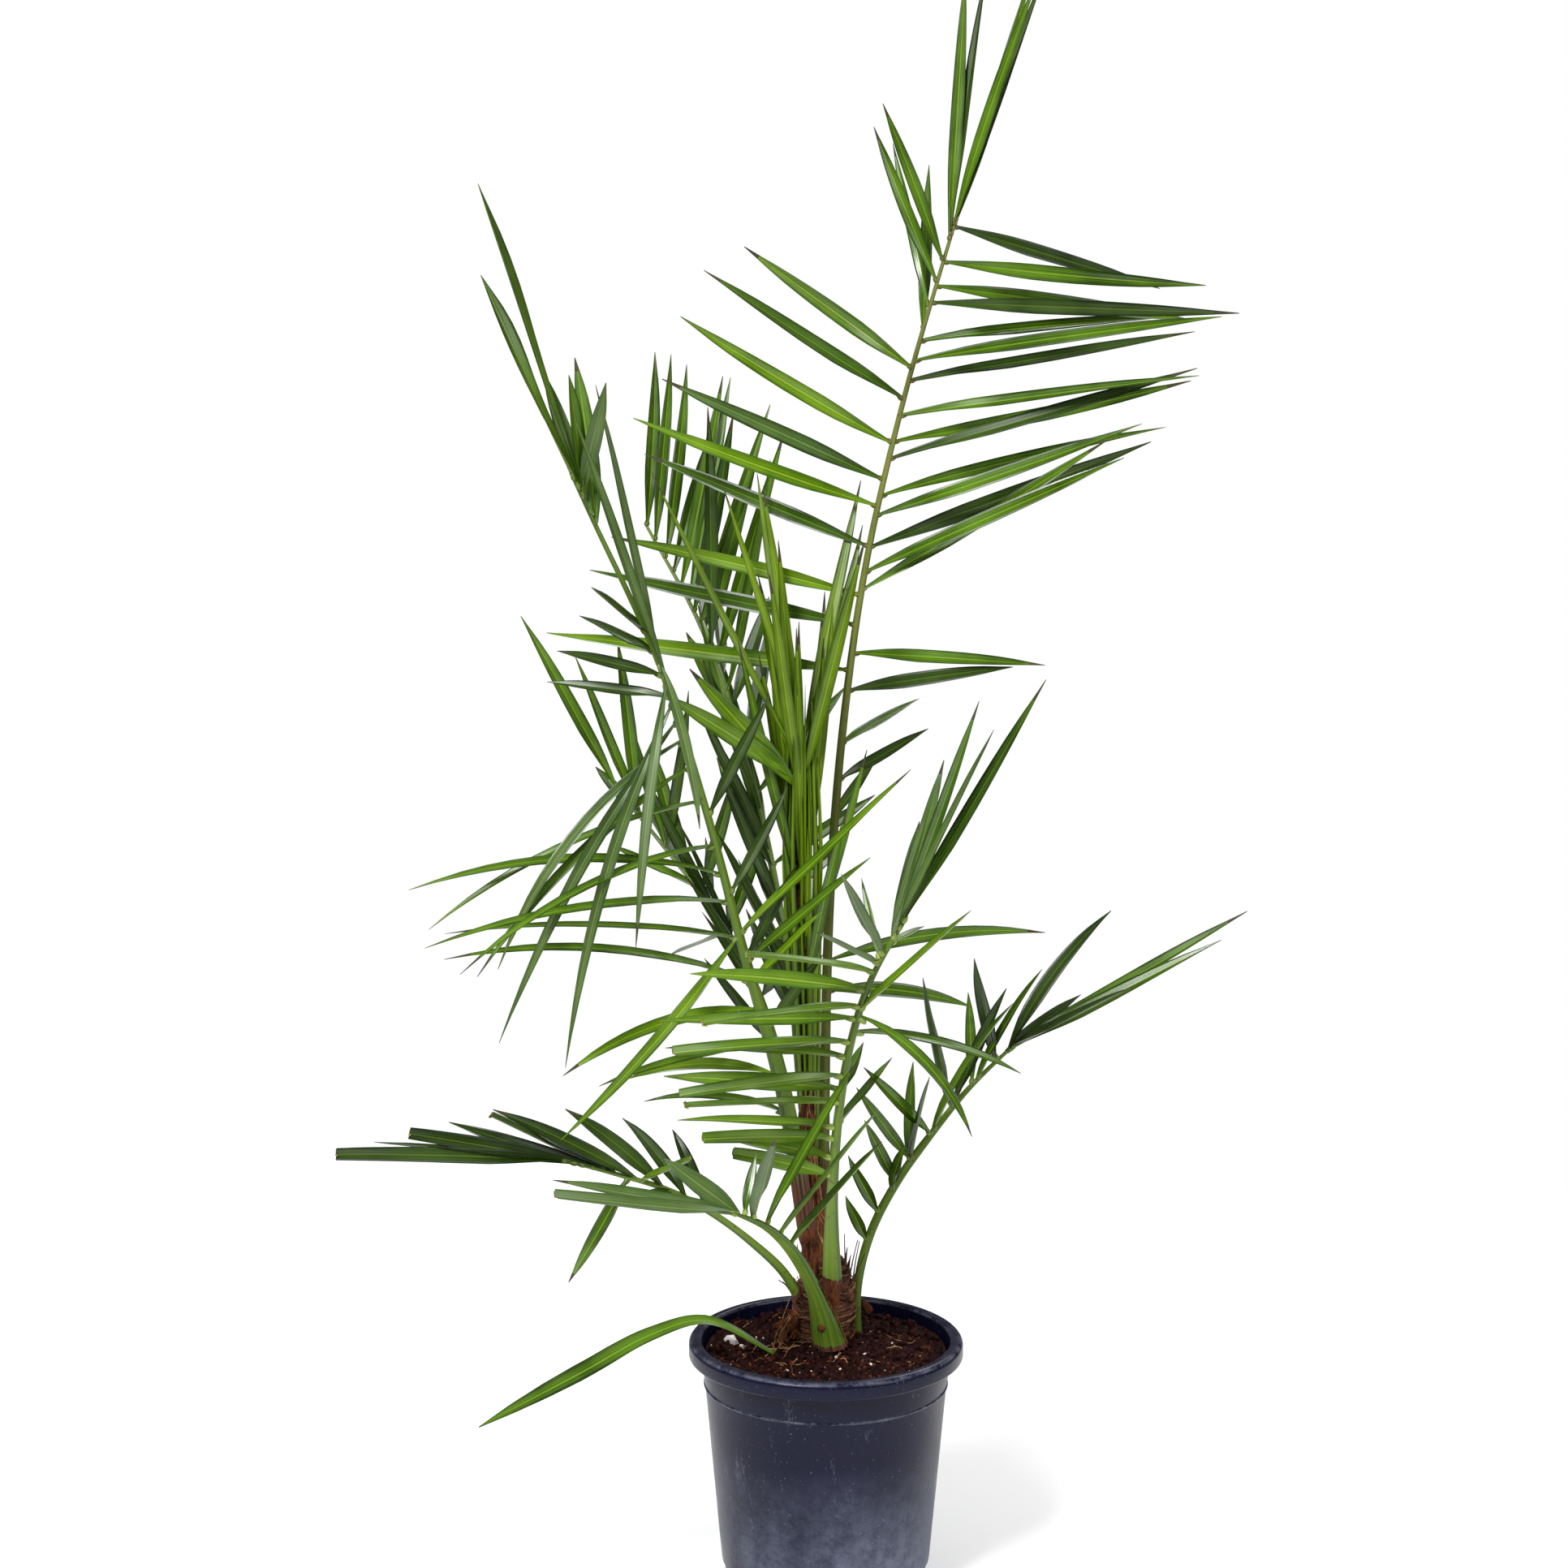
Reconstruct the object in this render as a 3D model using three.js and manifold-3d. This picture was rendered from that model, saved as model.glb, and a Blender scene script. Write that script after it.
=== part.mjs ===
// A young date palm in a round nursery pot, in millimetres, +Z up.
// The origin is the middle of the pot's flat underside, and +X is to the right.
//
// The pot, the potting soil, the fibrous stem base and every leaf stalk are solid limbs. The leaflets
// of a frond stand in as thin blades: each blade is the sheet that a run of leaflets spans, from
// the rib out to the leaflet tips.

import * as THREE from 'three';
import { mergeVertices } from 'three/addons/utils/BufferGeometryUtils.js';
import Module from 'manifold-3d';

const wasm = await Module();
wasm.setup();

// ---------------------------------------------------------------- driving sizes

const POT = {
  height: 175,
  rim: 95,            // radius over the rolled lip
  mouth: 86,          // radius of the opening
  body: 85.5,         // radius just under the lip
  foot: 70,           // radius of the flat underside
  step: 72.5,         // radius just above the foot
  lip: 13,            // height of the rolled lip
  collar: 32,         // depth of the slightly wider collar
  footHeight: 16,
  wall: 2,
};
const SOIL = { edge: 167, crown: 179, moundRadius: 62 };
const BLADE_THICKNESS = 1.4;
const GAP = 0.35;                 // air kept between pieces that touch
const RIB_CLEARANCE = 1.0;        // from a rib's skin to the foot of its blades
const SPECK = 0.05;               // edges shorter than this are closed up after a cut
const NUDGE = 0.02;               // step used to feel a sheet's slope
const LIMB_SIDES = 8;
const RIB_STEPS = 6;              // straight steps that a rib grows in before it is smoothed
const ROUND_SIDES = 48;

const COLOURS = {
  pot: { color: 0x23262f, roughness: 0.45, metalness: 0 },
  soil: { color: 0x2e1912, roughness: 0.95, metalness: 0 },
  fibre: { color: 0x5a3a26, roughness: 0.9, metalness: 0 },
  stalk: { color: 0x4f8a2e, roughness: 0.45, metalness: 0 },
  leaf: { color: 0x3f7a2c, roughness: 0.4, metalness: 0 },
  spear: { color: 0x6f9a2f, roughness: 0.45, metalness: 0 },
};

// Each frond: how its rib grows, the rib's half width at places along it, and its blades.
// A rib leaves `foot` and grows `length` on, turning through its headings and rises on the way. A blade
// is a run of leaflets `at` a stretch of the rib in %, with the heading, the rise and the length of its
// leaflets along that stretch. Headings turn anticlockwise seen from above with 0 along +X, and all
// angles are in degrees.
const FRONDS = {
  tall_right: {
    rib: { foot: [-3, 8, 240], length: 705, heading: [85, 60, 0, -15, -15],
      rise: [85, 87, 85, 77, 72] },
    halfWidth: [5.5, 3.6, 3.2, 2.6, 2, 1.2],
    blades: {
      right_fan: { at: [64, 98], heading: [-10, 0, 5, 20], rise: [30, 15, 5, -10],
        length: [195, 205, 215, 180] },
      right_low: { at: [44, 58], heading: [50, 20, -15], rise: [25, 15, 10], length: [90, 115, 130] },
      right_foot: { at: [24, 28], heading: [20, 15], rise: [-10, 5], length: [110, 165] },
      left_fan: { at: [57, 86], heading: [165, 175, 200], rise: [10, 25, 30], length: [205, 170, 150] },
      left_top: { at: [89, 95], heading: [130, 165, 200], rise: [65, 70, 60], length: [125, 115, 110] },
      tip: { at: [99, 100], heading: [60, 0, -25], rise: [85, 75, 70], length: [175, 185, 170] },
    },
  },
  tall_left: {
    rib: { foot: [-12, -10, 250], length: 630, heading: [230, 210, 205, 200, 200],
      rise: [80, 73, 75, 65, 65] },
    halfWidth: [8, 6.4, 3.8, 3, 2.5, 1.8, 1.1],
    blades: {
      tip: { at: [95, 100], heading: [215, 195], rise: [55, 70], length: [70, 110] },
      upper: { at: [66, 85], heading: [220, 245, 240], rise: [65, 70, 75], length: [185, 150, 100] },
      side: { at: [62, 69], heading: [165, 200], rise: [5, 20], length: [85, 65] },
      droop: { at: [57, 67], heading: [200, 215, 255, 300], rise: [-50, -60, -60, -65],
        length: [210, 260, 125, 110] },
      left_mid: { at: [33, 53], heading: [180, 205, 195, 185], rise: [5, 0, -10, -35],
        length: [220, 220, 210, 210] },
      left_foot: { at: [14, 31], heading: [170, 190, 215], rise: [10, -5, -35], length: [95, 140, 190] },
      right_low: { at: [30, 35], heading: [-35, -15], rise: [45, 40], length: [80, 170] },
    },
  },
  back: {
    rib: { foot: [-6, 14, 240], length: 530, heading: [115, 120, 130, 145], rise: [80, 75, 65, 50] },
    halfWidth: [5, 3.4, 2.6, 2, 1.1],
    blades: {
      fan: { at: [76, 100], heading: [15, 40, 50, 65], rise: [75, 70, 70, 80],
        length: [170, 180, 150, 130] },
      low: { at: [44, 70], heading: [90, 120, 125], rise: [60, 75, 75], length: [115, 150, 110] },
      rear: { at: [42, 84], heading: [60, 75, 90], rise: [10, 25, 30], length: [140, 165, 140] },
    },
  },
  back_left: {
    rib: { foot: [-10, 10, 235], length: 375, heading: [125, 130, 145, 145], rise: [80, 70, 45, 40] },
    halfWidth: [4, 2.8, 2, 1.1],
    blades: {
      up: { at: [63, 96], heading: [60, 130, 165, 155], rise: [70, 70, 75, 60],
        length: [90, 110, 130, 135] },
      rear: { at: [48, 92], heading: [80, 95, 110], rise: [5, 10, 15], length: [110, 125, 105] },
    },
  },
  front_right: {
    rib: { foot: [4, -20, 212], length: 295, heading: [-100, -80, -60, -30], rise: [77, 74, 70, 55] },
    halfWidth: [8, 4.6, 3.4, 3, 1.6],
    blades: {
      tip: { at: [97, 100], heading: [10, -15], rise: [65, 55], length: [155, 190] },
      top: { at: [88, 96], heading: [235, 240, 255], rise: [30, 45, 55], length: [85, 85, 105] },
      top_back: { at: [88, 94], heading: [85, 65], rise: [50, 75], length: [70, 130] },
      right: { at: [68, 75], heading: [15, -40], rise: [-15, 40], length: [125, 120] },
      comb: { at: [33, 83], heading: [180, 195, 210, 205], rise: [10, 5, 0, 5],
        length: [75, 120, 145, 115] },
      behind: { at: [40, 52], heading: [55, 70], rise: [25, 20], length: [85, 70] },
    },
  },
  low_right: {
    rib: { foot: [22, 8, 165], length: 245, heading: [20, 20, 20, 20, 15], rise: [98, 76, 53, 47, 38] },
    halfWidth: [4, 3.4, 3.4, 3.2, 2.2, 1.3],
    blades: {
      tip: { at: [97, 100], heading: [35, 5, -10, -35], rise: [25, 30, 30, 30],
        length: [80, 185, 170, 110] },
      up: { at: [48, 95], heading: [-40, -50, -25, 20], rise: [60, 60, 60, 50],
        length: [50, 125, 100, 120] },
      left: { at: [32, 66], heading: [210, 225, 220], rise: [65, 45, 45], length: [45, 65, 95] },
    },
  },
  low_front: {
    rib: { foot: [4, -18, 172], length: 180, heading: [235, 240, 240, 230], rise: [73, 55, 38, 22] },
    halfWidth: [11, 7.5, 4.6, 3.2, 1.6],
    blades: {
      tip: { at: [94, 100], heading: [165, 185, 210], rise: [25, 10, 15], length: [60, 125, 125] },
      up: { at: [60, 80], heading: [-40, -40, -30], rise: [50, 50, 60], length: [120, 145, 145] },
    },
  },
  low_left: {
    rib: { foot: [-14, -8, 195], length: 213, heading: [220, 205, 190, 185, 180],
      rise: [68, 46, 36, 19, 14] },
    halfWidth: [4.4, 4, 3, 2.6, 2, 1.3],
    blades: {
      tip: { at: [86, 100], heading: [165, 180, 185], rise: [15, 10, 0], length: [110, 140, 165] },
      up: { at: [53, 75], heading: [125, 135, 185], rise: [50, 55, 25], length: [60, 80, 110] },
      low: { at: [66, 79], heading: [235, 230], rise: [0, -40], length: [55, 85] },
    },
  },
};

// The unopened spear leaves stand in one bundle, with their free tips in two blades.
const SPEARS = {
  rib: { foot: [-11, 9, 262], length: 378, heading: [215, 250, 285], rise: [87.5, 87.5, 87.5] },
  halfWidth: [4, 9, 13, 8],
  blades: {
    crown: { at: [84, 96], heading: [190, 215, 320], rise: [65, 80, 85], length: [210, 190, 150] },
    fore: { at: [72, 80], heading: [205, 210], rise: [45, 35], length: [120, 125] },
  },
};

// The column of leaf sheaths that rises out of the stem base, and the stem base itself.
const SHEATH = {
  route: [[-1, 0, 226], [-8, 2, 253], [-13, 4, 290], [-13, 6, 372]],
  halfWidth: [12, 7.5, 6, 2.2],
};
const STEM = {
  route: [[-1, 2, 174], [-1, 2, 195], [-1, 2, 214], [-1, 1, 232]],
  halfWidth: [19.5, 21.5, 20, 13],
};

// One strap-shaped seedling leaf grows from the soil and falls over the rim.
const STRAP = {
  route: [[-35, -20, 168], [-80, -28, 195], [-120, -36, 188], [-167, -48, 165], [-235, -60, 132]],
  halfWidth: [2.5, 4, 7, 9, 1],
};

// ---------------------------------------------------------------- small helpers

const toRadians = THREE.MathUtils.degToRad;

function routeOf(points) {
  return new THREE.CatmullRomCurve3(points.map((p) => new THREE.Vector3(...p)), false, 'catmullrom', 0.5);
}

// The value at a share (0 to 1) of a list of values spread evenly along a route.
function valueAt(list, share) {
  const place = THREE.MathUtils.clamp(share, 0, 1) * (list.length - 1);
  const index = Math.min(Math.floor(place), list.length - 2);
  return THREE.MathUtils.lerp(list[index], list[index + 1], place - index);
}

function directionOf(heading, rise) {
  const level = Math.cos(toRadians(rise));
  return new THREE.Vector3(
    level * Math.cos(toRadians(heading)),
    level * Math.sin(toRadians(heading)),
    Math.sin(toRadians(rise)),
  );
}

// The points that a rib passes through as it grows from its foot.
function grow({ foot, length, heading, rise }) {
  const tip = new THREE.Vector3(...foot);
  const points = [foot];
  for (let i = 0; i < RIB_STEPS; i += 1) {
    const share = (i + 0.5) / RIB_STEPS;
    const aim = directionOf(valueAt(heading, share), valueAt(rise, share));
    points.push(tip.addScaledVector(aim, length / RIB_STEPS).toArray());
  }
  return points;
}

// The rows of a blade, each with its share of the rib in %, and the heading, rise and length there.
function rowsOf({ at, heading, rise, length }) {
  return length.map((_, i) => {
    const share = i / (length.length - 1);
    return [valueAt(at, share), valueAt(heading, share), valueAt(rise, share), length[i]];
  });
}

// A geometry with shared corners joined, as a solid that manifold can cut.
function solidOf(geometry) {
  geometry.deleteAttribute('normal');
  geometry.deleteAttribute('uv');
  const merged = mergeVertices(geometry, 1e-4);
  const corners = merged.attributes.position;
  const faces = [];
  const all = merged.index.array;
  for (let i = 0; i < all.length; i += 3) {
    const [a, b, c] = [all[i], all[i + 1], all[i + 2]];
    if (a !== b && b !== c && c !== a) faces.push(a, b, c);
  }
  const v = (n) => new THREE.Vector3().fromBufferAttribute(corners, n);
  let volume = 0;
  for (let i = 0; i < faces.length; i += 3) {
    volume += v(faces[i]).dot(v(faces[i + 1]).cross(v(faces[i + 2])));
  }
  if (volume < 0) faces.reverse();
  return new wasm.Manifold(new wasm.Mesh({
    numProp: 3,
    vertProperties: new Float32Array(corners.array),
    triVerts: new Uint32Array(faces),
  }));
}

// A tapering limb along a route, with an oval section. The flatness is its thickness over its width.
function limb({ route, halfWidth, flatness = 0.8, face = [0, -1, 0.3], steps = 10, extra = 0 }) {
  const curve = routeOf(route);
  const facing = new THREE.Vector3(...face).normalize();
  const shape = new THREE.CylinderGeometry(1, 1, 1, LIMB_SIDES, steps);
  const place = shape.attributes.position;
  const corner = new THREE.Vector3();
  for (let i = 0; i < place.count; i += 1) {
    corner.fromBufferAttribute(place, i);
    const share = corner.y + 0.5;
    const along = curve.getTangentAt(share);
    const across = new THREE.Vector3().crossVectors(along, facing).normalize();
    const outward = new THREE.Vector3().crossVectors(across, along).normalize();
    const half = valueAt(halfWidth, share);
    const end = (share < 1e-6 ? -extra : 0) + (share > 1 - 1e-6 ? extra : 0);
    const spot = curve.getPointAt(share)
      .addScaledVector(across, corner.x * (half + extra))
      .addScaledVector(outward, corner.z * (half * flatness + extra))
      .addScaledVector(along, end);
    place.setXYZ(i, spot.x, spot.y, spot.z);
  }
  return solidOf(shape);
}

// The tip direction and the length of the leaflet at a share of the rib, between a blade's rows.
function leafAt(rows, share) {
  const next = Math.max(1, rows.findIndex((row) => row[0] >= share));
  const [before, after] = [rows[next - 1], rows[next]];
  const mix = THREE.MathUtils.clamp((share - before[0]) / (after[0] - before[0]), 0, 1);
  const aim = directionOf(before[1], before[2]).lerp(directionOf(after[1], after[2]), mix).normalize();
  return { aim, length: THREE.MathUtils.lerp(before[3], after[3], mix) };
}

// Gives the far side of a box the same diagonals as its near side, so that a thin box which is bent
// into a twisted sheet keeps its thickness.
function matchDiagonals(box) {
  const farSide = box.groups[5];
  for (let i = farSide.start; i < farSide.start + farSide.count; i += 6) {
    const [a, d, c] = [box.index.getX(i), box.index.getX(i + 2), box.index.getX(i + 4)];
    [c, a, c, d].forEach((corner, k) => box.index.setX(i + 2 + k, corner));
  }
}

// A point of the sheet that a run of leaflets spans: `across` goes from its first leaflet to its last,
// and `out` from the rib to the tips.
function sheetPoint(curve, frond, rows, across, out) {
  const row = THREE.MathUtils.clamp(Math.floor(across * (rows.length - 1)), 0, rows.length - 2);
  const share = THREE.MathUtils.lerp(rows[row][0], rows[row + 1][0], across * (rows.length - 1) - row);
  const { aim, length } = leafAt(rows, share);
  const place = THREE.MathUtils.clamp(share / 100, 0, 1);
  const lean = Math.max(0.3, Math.sin(aim.angleTo(curve.getTangentAt(place))));
  const start = (valueAt(frond.halfWidth, place) + RIB_CLEARANCE) / lean;
  return curve.getPointAt(place).addScaledVector(aim, THREE.MathUtils.lerp(start, length, out));
}

// That sheet as a thin closed solid, grown by `extra` all round.
function blade(frond, run, extra = 0) {
  const curve = routeOf(grow(frond.rib));
  const rows = rowsOf(run);
  const point = (across, out) => sheetPoint(curve, frond, rows, across, out);
  const shape = new THREE.BoxGeometry(1, 1, 1, rows.length * 2 - 2, 3, 1);
  matchDiagonals(shape);
  const place = shape.attributes.position;
  const corner = new THREE.Vector3();
  for (let i = 0; i < place.count; i += 1) {
    corner.fromBufferAttribute(place, i);
    const [across, out] = [corner.x + 0.5, corner.y + 0.5];
    const [left, right] = [Math.max(0, across - NUDGE), Math.min(1, across + NUDGE)];
    const sideways = point(right, out).sub(point(left, out)).normalize();
    const outward = point(across, 1).sub(point(across, 0)).normalize();
    const normal = new THREE.Vector3().crossVectors(sideways, outward).normalize();
    const spot = point(across, out)
      .addScaledVector(sideways, Math.trunc(2 * corner.x) * extra)
      .addScaledVector(outward, Math.trunc(2 * corner.y) * extra)
      .addScaledVector(normal, corner.z * (BLADE_THICKNESS + 2 * extra));
    place.setXYZ(i, spot.x, spot.y, spot.z);
  }
  return solidOf(shape);
}

function turned(profile) {
  const points = profile.map(([radius, height]) => new THREE.Vector2(radius, height));
  const shape = new THREE.LatheGeometry(points, ROUND_SIDES);
  shape.rotateX(Math.PI / 2);
  return solidOf(shape);
}

// ---------------------------------------------------------------- the pot and the soil

function potOuterRadius(height) {
  const share = (height - POT.footHeight) / (POT.height - POT.lip - POT.footHeight);
  return THREE.MathUtils.lerp(POT.step, POT.body, share);
}

function potProfile() {
  const { height, rim, mouth, body, foot, step, lip, collar, footHeight, wall } = POT;
  const underLip = height - lip;
  const ring = height - collar;
  return [
    [0, 0],
    [foot - 1, 0],
    [foot, 1],
    [foot, footHeight - 1],
    [step, footHeight],
    [potOuterRadius(ring) - 1, ring],
    [potOuterRadius(ring), ring + 1.5],
    [body, underLip],
    [rim - 3, underLip + 0.5],
    [rim, underLip + 3.5],
    [rim, height - 4],
    [rim - 2.5, height],
    [mouth + 1.5, height],
    [mouth, height - 2],
    [body - wall, underLip],
    [step - wall, footHeight + wall],
    [0, footHeight + wall],
  ];
}

function soilHeight(radius) {
  const fall = 0.5 - 0.5 * Math.cos(Math.PI * Math.min(1, radius / SOIL.moundRadius));
  return THREE.MathUtils.lerp(SOIL.crown, SOIL.edge, fall);
}

function soilProfile() {
  const inside = POT.wall + GAP;
  const floor = POT.footHeight + POT.wall + GAP;
  const top = [80, 62, 46, 32, 20].map((radius) => [radius, soilHeight(radius)]);
  return [
    [0, floor],
    [POT.step - inside, floor],
    [potOuterRadius(SOIL.edge) - inside, SOIL.edge],
    ...top,
    [0, SOIL.crown],
  ];
}

// ---------------------------------------------------------------- putting it together

const palm = new THREE.Group();
const placed = [];

function boxesMeet(a, b) {
  const [p, q] = [a.boundingBox(), b.boundingBox()];
  return [0, 1, 2].every((k) => p.min[k] <= q.max[k] && q.min[k] <= p.max[k]);
}

function largestPiece(solid) {
  return solid.decompose().sort((a, b) => b.volume() - a.volume())[0];
}

// Adds one named piece, cut back from every piece that is already there. The padded copy of the
// piece, a little larger all round, is what later pieces keep clear of.
function add(name, looks, solid, padded) {
  let rest = solid;
  for (const other of placed) {
    if (boxesMeet(rest, other)) rest = rest.subtract(other);
  }
  rest = largestPiece(rest).simplify(SPECK);
  const { vertProperties, triVerts } = rest.getMesh();
  const geometry = new THREE.BufferGeometry();
  geometry.setAttribute('position', new THREE.BufferAttribute(vertProperties, 3));
  geometry.setIndex(new THREE.BufferAttribute(triVerts, 1));
  geometry.computeVertexNormals();
  const mesh = new THREE.Mesh(geometry, new THREE.MeshStandardMaterial(looks));
  mesh.name = name;
  palm.add(mesh);
  placed.push(padded);
}

function addLimb(name, looks, shape) {
  add(name, looks, limb(shape), limb({ ...shape, extra: GAP }));
}

const potSolid = turned(potProfile());
add('pot', COLOURS.pot, potSolid, potSolid);
addLimb('stem_base', COLOURS.fibre, { ...STEM, flatness: 1, steps: 6 });
addLimb('sheath_column', COLOURS.fibre, { ...SHEATH, flatness: 1, steps: 6 });
for (const [name, frond] of Object.entries(FRONDS)) {
  addLimb(`${name}_rib`, COLOURS.stalk, { ...frond, route: grow(frond.rib) });
}
addLimb('spear_bundle', COLOURS.spear, { ...SPEARS, route: grow(SPEARS.rib), flatness: 0.7 });
addLimb('seedling_leaf', COLOURS.leaf, { ...STRAP, flatness: 0.16, face: [-0.3, 0, 1] });
const soilSolid = turned(soilProfile());
add('soil', COLOURS.soil, soilSolid, soilSolid);
for (const [name, frond] of Object.entries({ ...FRONDS, spears: SPEARS })) {
  for (const [part, run] of Object.entries(frond.blades)) {
    const looks = name === 'spears' ? COLOURS.spear : COLOURS.leaf;
    add(`${name}_${part}`, looks, blade(frond, run), blade(frond, run, GAP));
  }
}

export default palm;
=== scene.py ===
import random
from math import cos, hypot, pi, radians, sin, sqrt

import bmesh
import bpy
from mathutils import Matrix, Quaternion, Vector, noise


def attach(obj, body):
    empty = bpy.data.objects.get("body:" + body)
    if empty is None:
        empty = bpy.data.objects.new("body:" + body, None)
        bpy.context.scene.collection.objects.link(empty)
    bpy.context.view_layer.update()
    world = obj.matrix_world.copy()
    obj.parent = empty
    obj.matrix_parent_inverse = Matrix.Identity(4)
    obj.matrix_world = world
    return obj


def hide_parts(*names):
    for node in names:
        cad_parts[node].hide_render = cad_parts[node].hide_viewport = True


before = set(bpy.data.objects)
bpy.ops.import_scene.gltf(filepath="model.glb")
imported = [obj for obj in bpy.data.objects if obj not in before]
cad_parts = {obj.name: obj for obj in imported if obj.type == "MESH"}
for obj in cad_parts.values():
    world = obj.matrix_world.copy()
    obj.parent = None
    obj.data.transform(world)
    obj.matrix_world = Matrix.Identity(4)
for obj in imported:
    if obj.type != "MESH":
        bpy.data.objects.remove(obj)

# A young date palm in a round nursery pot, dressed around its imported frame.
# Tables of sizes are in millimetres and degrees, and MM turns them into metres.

MM = 0.001
UP = Vector((0, 0, 1))
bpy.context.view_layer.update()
noise.seed_set(7)        # left alone, noise_vector starts from the clock and differs in every run

# ---------------- driving sizes

POT = {
    "height": 175, "rim": 95, "mouth": 86, "body": 85.5, "foot": 70, "step": 72.5,
    "lip": 13, "collar": 32, "foot_height": 16, "wall": 2,
}
SOIL = {"edge": 167, "crown": 179, "mound": 62, "radius": 83.2}
STEM = {
    "route": [(-1, 2, 172), (-1, 2, 195), (-1, 2, 214), (-1, 1, 232)],
    "half": [19.5, 21.5, 20, 13],
}
SHEATH = {
    "route": [(-1, 0, 226), (-8, 2, 253), (-13, 4, 290), (-13, 6, 372)],
    "half": [12, 7.5, 6, 2.2],
}
STRAP = {
    "route": [(-35, -20, 168), (-80, -28, 195), (-120, -36, 188), (-167, -48, 165), (-235, -60, 132)],
    "half": [2.2, 3.4, 4.6, 6.0, 7.4, 8.4, 8.6, 7.4, 4.8, 0.6],
}

LEAFLET = {
    "sides": 8, "rings": 12, "thickness": 0.22, "keel": 0.55, "roll": 22, "twist": 24, "sway": 0.012,
    "fold_at_foot": 58, "fold": 20, "fold_at_tip": 12,
}
COUNTS = {
    "wound_threads": 130, "hung_threads": 100, "stem_flakes": 46, "sheath_flakes": 34,
    "roots": 34, "roots_by_stem": 14, "climbing_roots": 9, "knot_loops": 40, "bark": 26,
}
OUTLINES = {
    "": [0.32, 0.60, 0.82, 0.95, 1.0, 1.0, 0.98, 0.93, 0.85, 0.73, 0.55, 0.30, 0.06],
    "cut": [0.30, 0.58, 0.80, 0.93, 1.0, 1.0, 0.99, 0.97, 0.95, 0.92, 0.89, 0.86, 0.80],
    "late": [0.34, 0.42, 0.48, 0.54, 0.60, 0.68, 0.80, 0.94, 1.0, 0.94, 0.74, 0.40, 0.05],
}
VIEW = {"eye": (-0.029, -2.0, 0.872), "down": 8.8, "lens": 69.02}     # metres, degrees, lens in mm
FINENESS = 12        # short steps between two points of a route
RIB_STEPS = 6        # straight steps that a rib grows in before it is smoothed
# How far a leaflet may stray from its run: in % of the rib along it, in degrees, and as shares.
STRAY = {"along": 1.5, "turn": 4, "length": (0.93, 1.04), "bow": (0.6, 1.4)}

# A frond's rib grows from `foot` for its length, turning through its headings and rises on the way.
# Headings turn anticlockwise seen from above, with 0 along +X. Beside the rib there are its half width,
# the side its upper face turns to, the skins of its stalk and of its leaflets' feet, the stretch where it
# shows (`starts`, `ends`), the share of its leaflets with a dry dark point (`needles`), where its sheath
# joins the stem and the sheath's half width (`held`), and the runs that its leaflets grow in.
# A run is (kinds, stretch of the rib in %, count, headings, rises, lengths, half width[, upward bow in %
# of the length[, fan]]). Headings, rises and lengths go along the stretch, or are one value for all of it.
# The fan turns every other leaflet apart. A kind is a skin, and an outline if it isn't the pointed one; the
# kinds are dealt out in turn.
FRONDS = {}
FRONDS["tall_right"] = dict(
    rib=dict(foot=(-3, 8, 240), length=705, heading=(85, 60, 0, -15, -15), rise=(85, 87, 85, 77, 72)),
    half=[5.5, 3.6, 3.2, 2.6, 2, 1.2],
    face=(-0.35, -0.9, 0.35),
    stalk="olive",
    held=(-1, 3, 214, 9),
    feet=("olive", 0.75),
    runs=[
        ("fresh fresh dark", (64, 99), 15, (-10, 0, 5, 15), (30, 14, 4, -10),
         (190, 205, 215, 165), 5.6, 0, 10),
        ("fresh dark", (42, 58), 5, (50, 35, -20), (30, 18, -6), (72, 95, 128), 5.2, 0, 12),
        ("fresh", (25, 28), 2, (22, 12), (-12, 4), (110, 165), 5.2, 5),
        ("young mid", (57, 86), 9, (163, 172, 198), (9, 22, 31), (205, 168, 148), 5.6, 0, 4),
        ("fresh", (90, 96), 4, (80, 150, 215), (66, 68, 60), (125, 118, 108), 4.6, 0, 6),
        ("fresh dark", (98, 100), 5, (60, 0, -25), (86, 76, 70), (172, 186, 170), 4.3),
    ],
)
FRONDS["tall_left"] = dict(
    rib=dict(foot=(-12, -10, 250), length=630,
             heading=(230, 210, 205, 200, 200), rise=(80, 73, 75, 65, 65)),
    half=[8, 6.4, 3.8, 3, 2.5, 1.8, 1.1],
    face=(0.35, -0.55, 0.75),
    stalk="sheathed",
    held=(-4, -2, 214, 13),
    feet=("green", 0.9),
    ends=0.88,
    runs=[
        ("fresh_late", (86, 87), 2, (195, 210), (70, 60), (210, 140), 7.2),
        ("fresh blue", (82, 86), 4, (120, 315), (74, 64), (105, 80), 6.5, 0, 8),
        ("blue", (64, 68), 2, (222, 214), (64, 76), (180, 190), 4.8),
        ("blue", (58, 66), 5, (195, 220, 300), (-48, -64, -64), (205, 265, 110), 4.2, 7, 5),
        ("fresh", (31, 54), 7, (178, 205, 190), (8, -5, -38), (210, 222, 208), 3.8, 6, 13),
        ("fresh young", (14, 27), 4, (170, 205), (6, -10), (95, 145), 4.4, 7, 5),
        ("young fresh", (30, 36), 3, (-35, -12), (44, 42), (80, 170), 5, 0, 3),
        ("young", (35, 36), 1, 213, -38, 190, 4.4, -4),
        ("dark", (62, 70), 4, (165, 215), (5, 35), (85, 50), 5, 0, 5),
        ("dark", (26, 48), 4, (-20, 20), (58, 66), (65, 95), 4.2, 0, 8),
    ],
)
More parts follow.
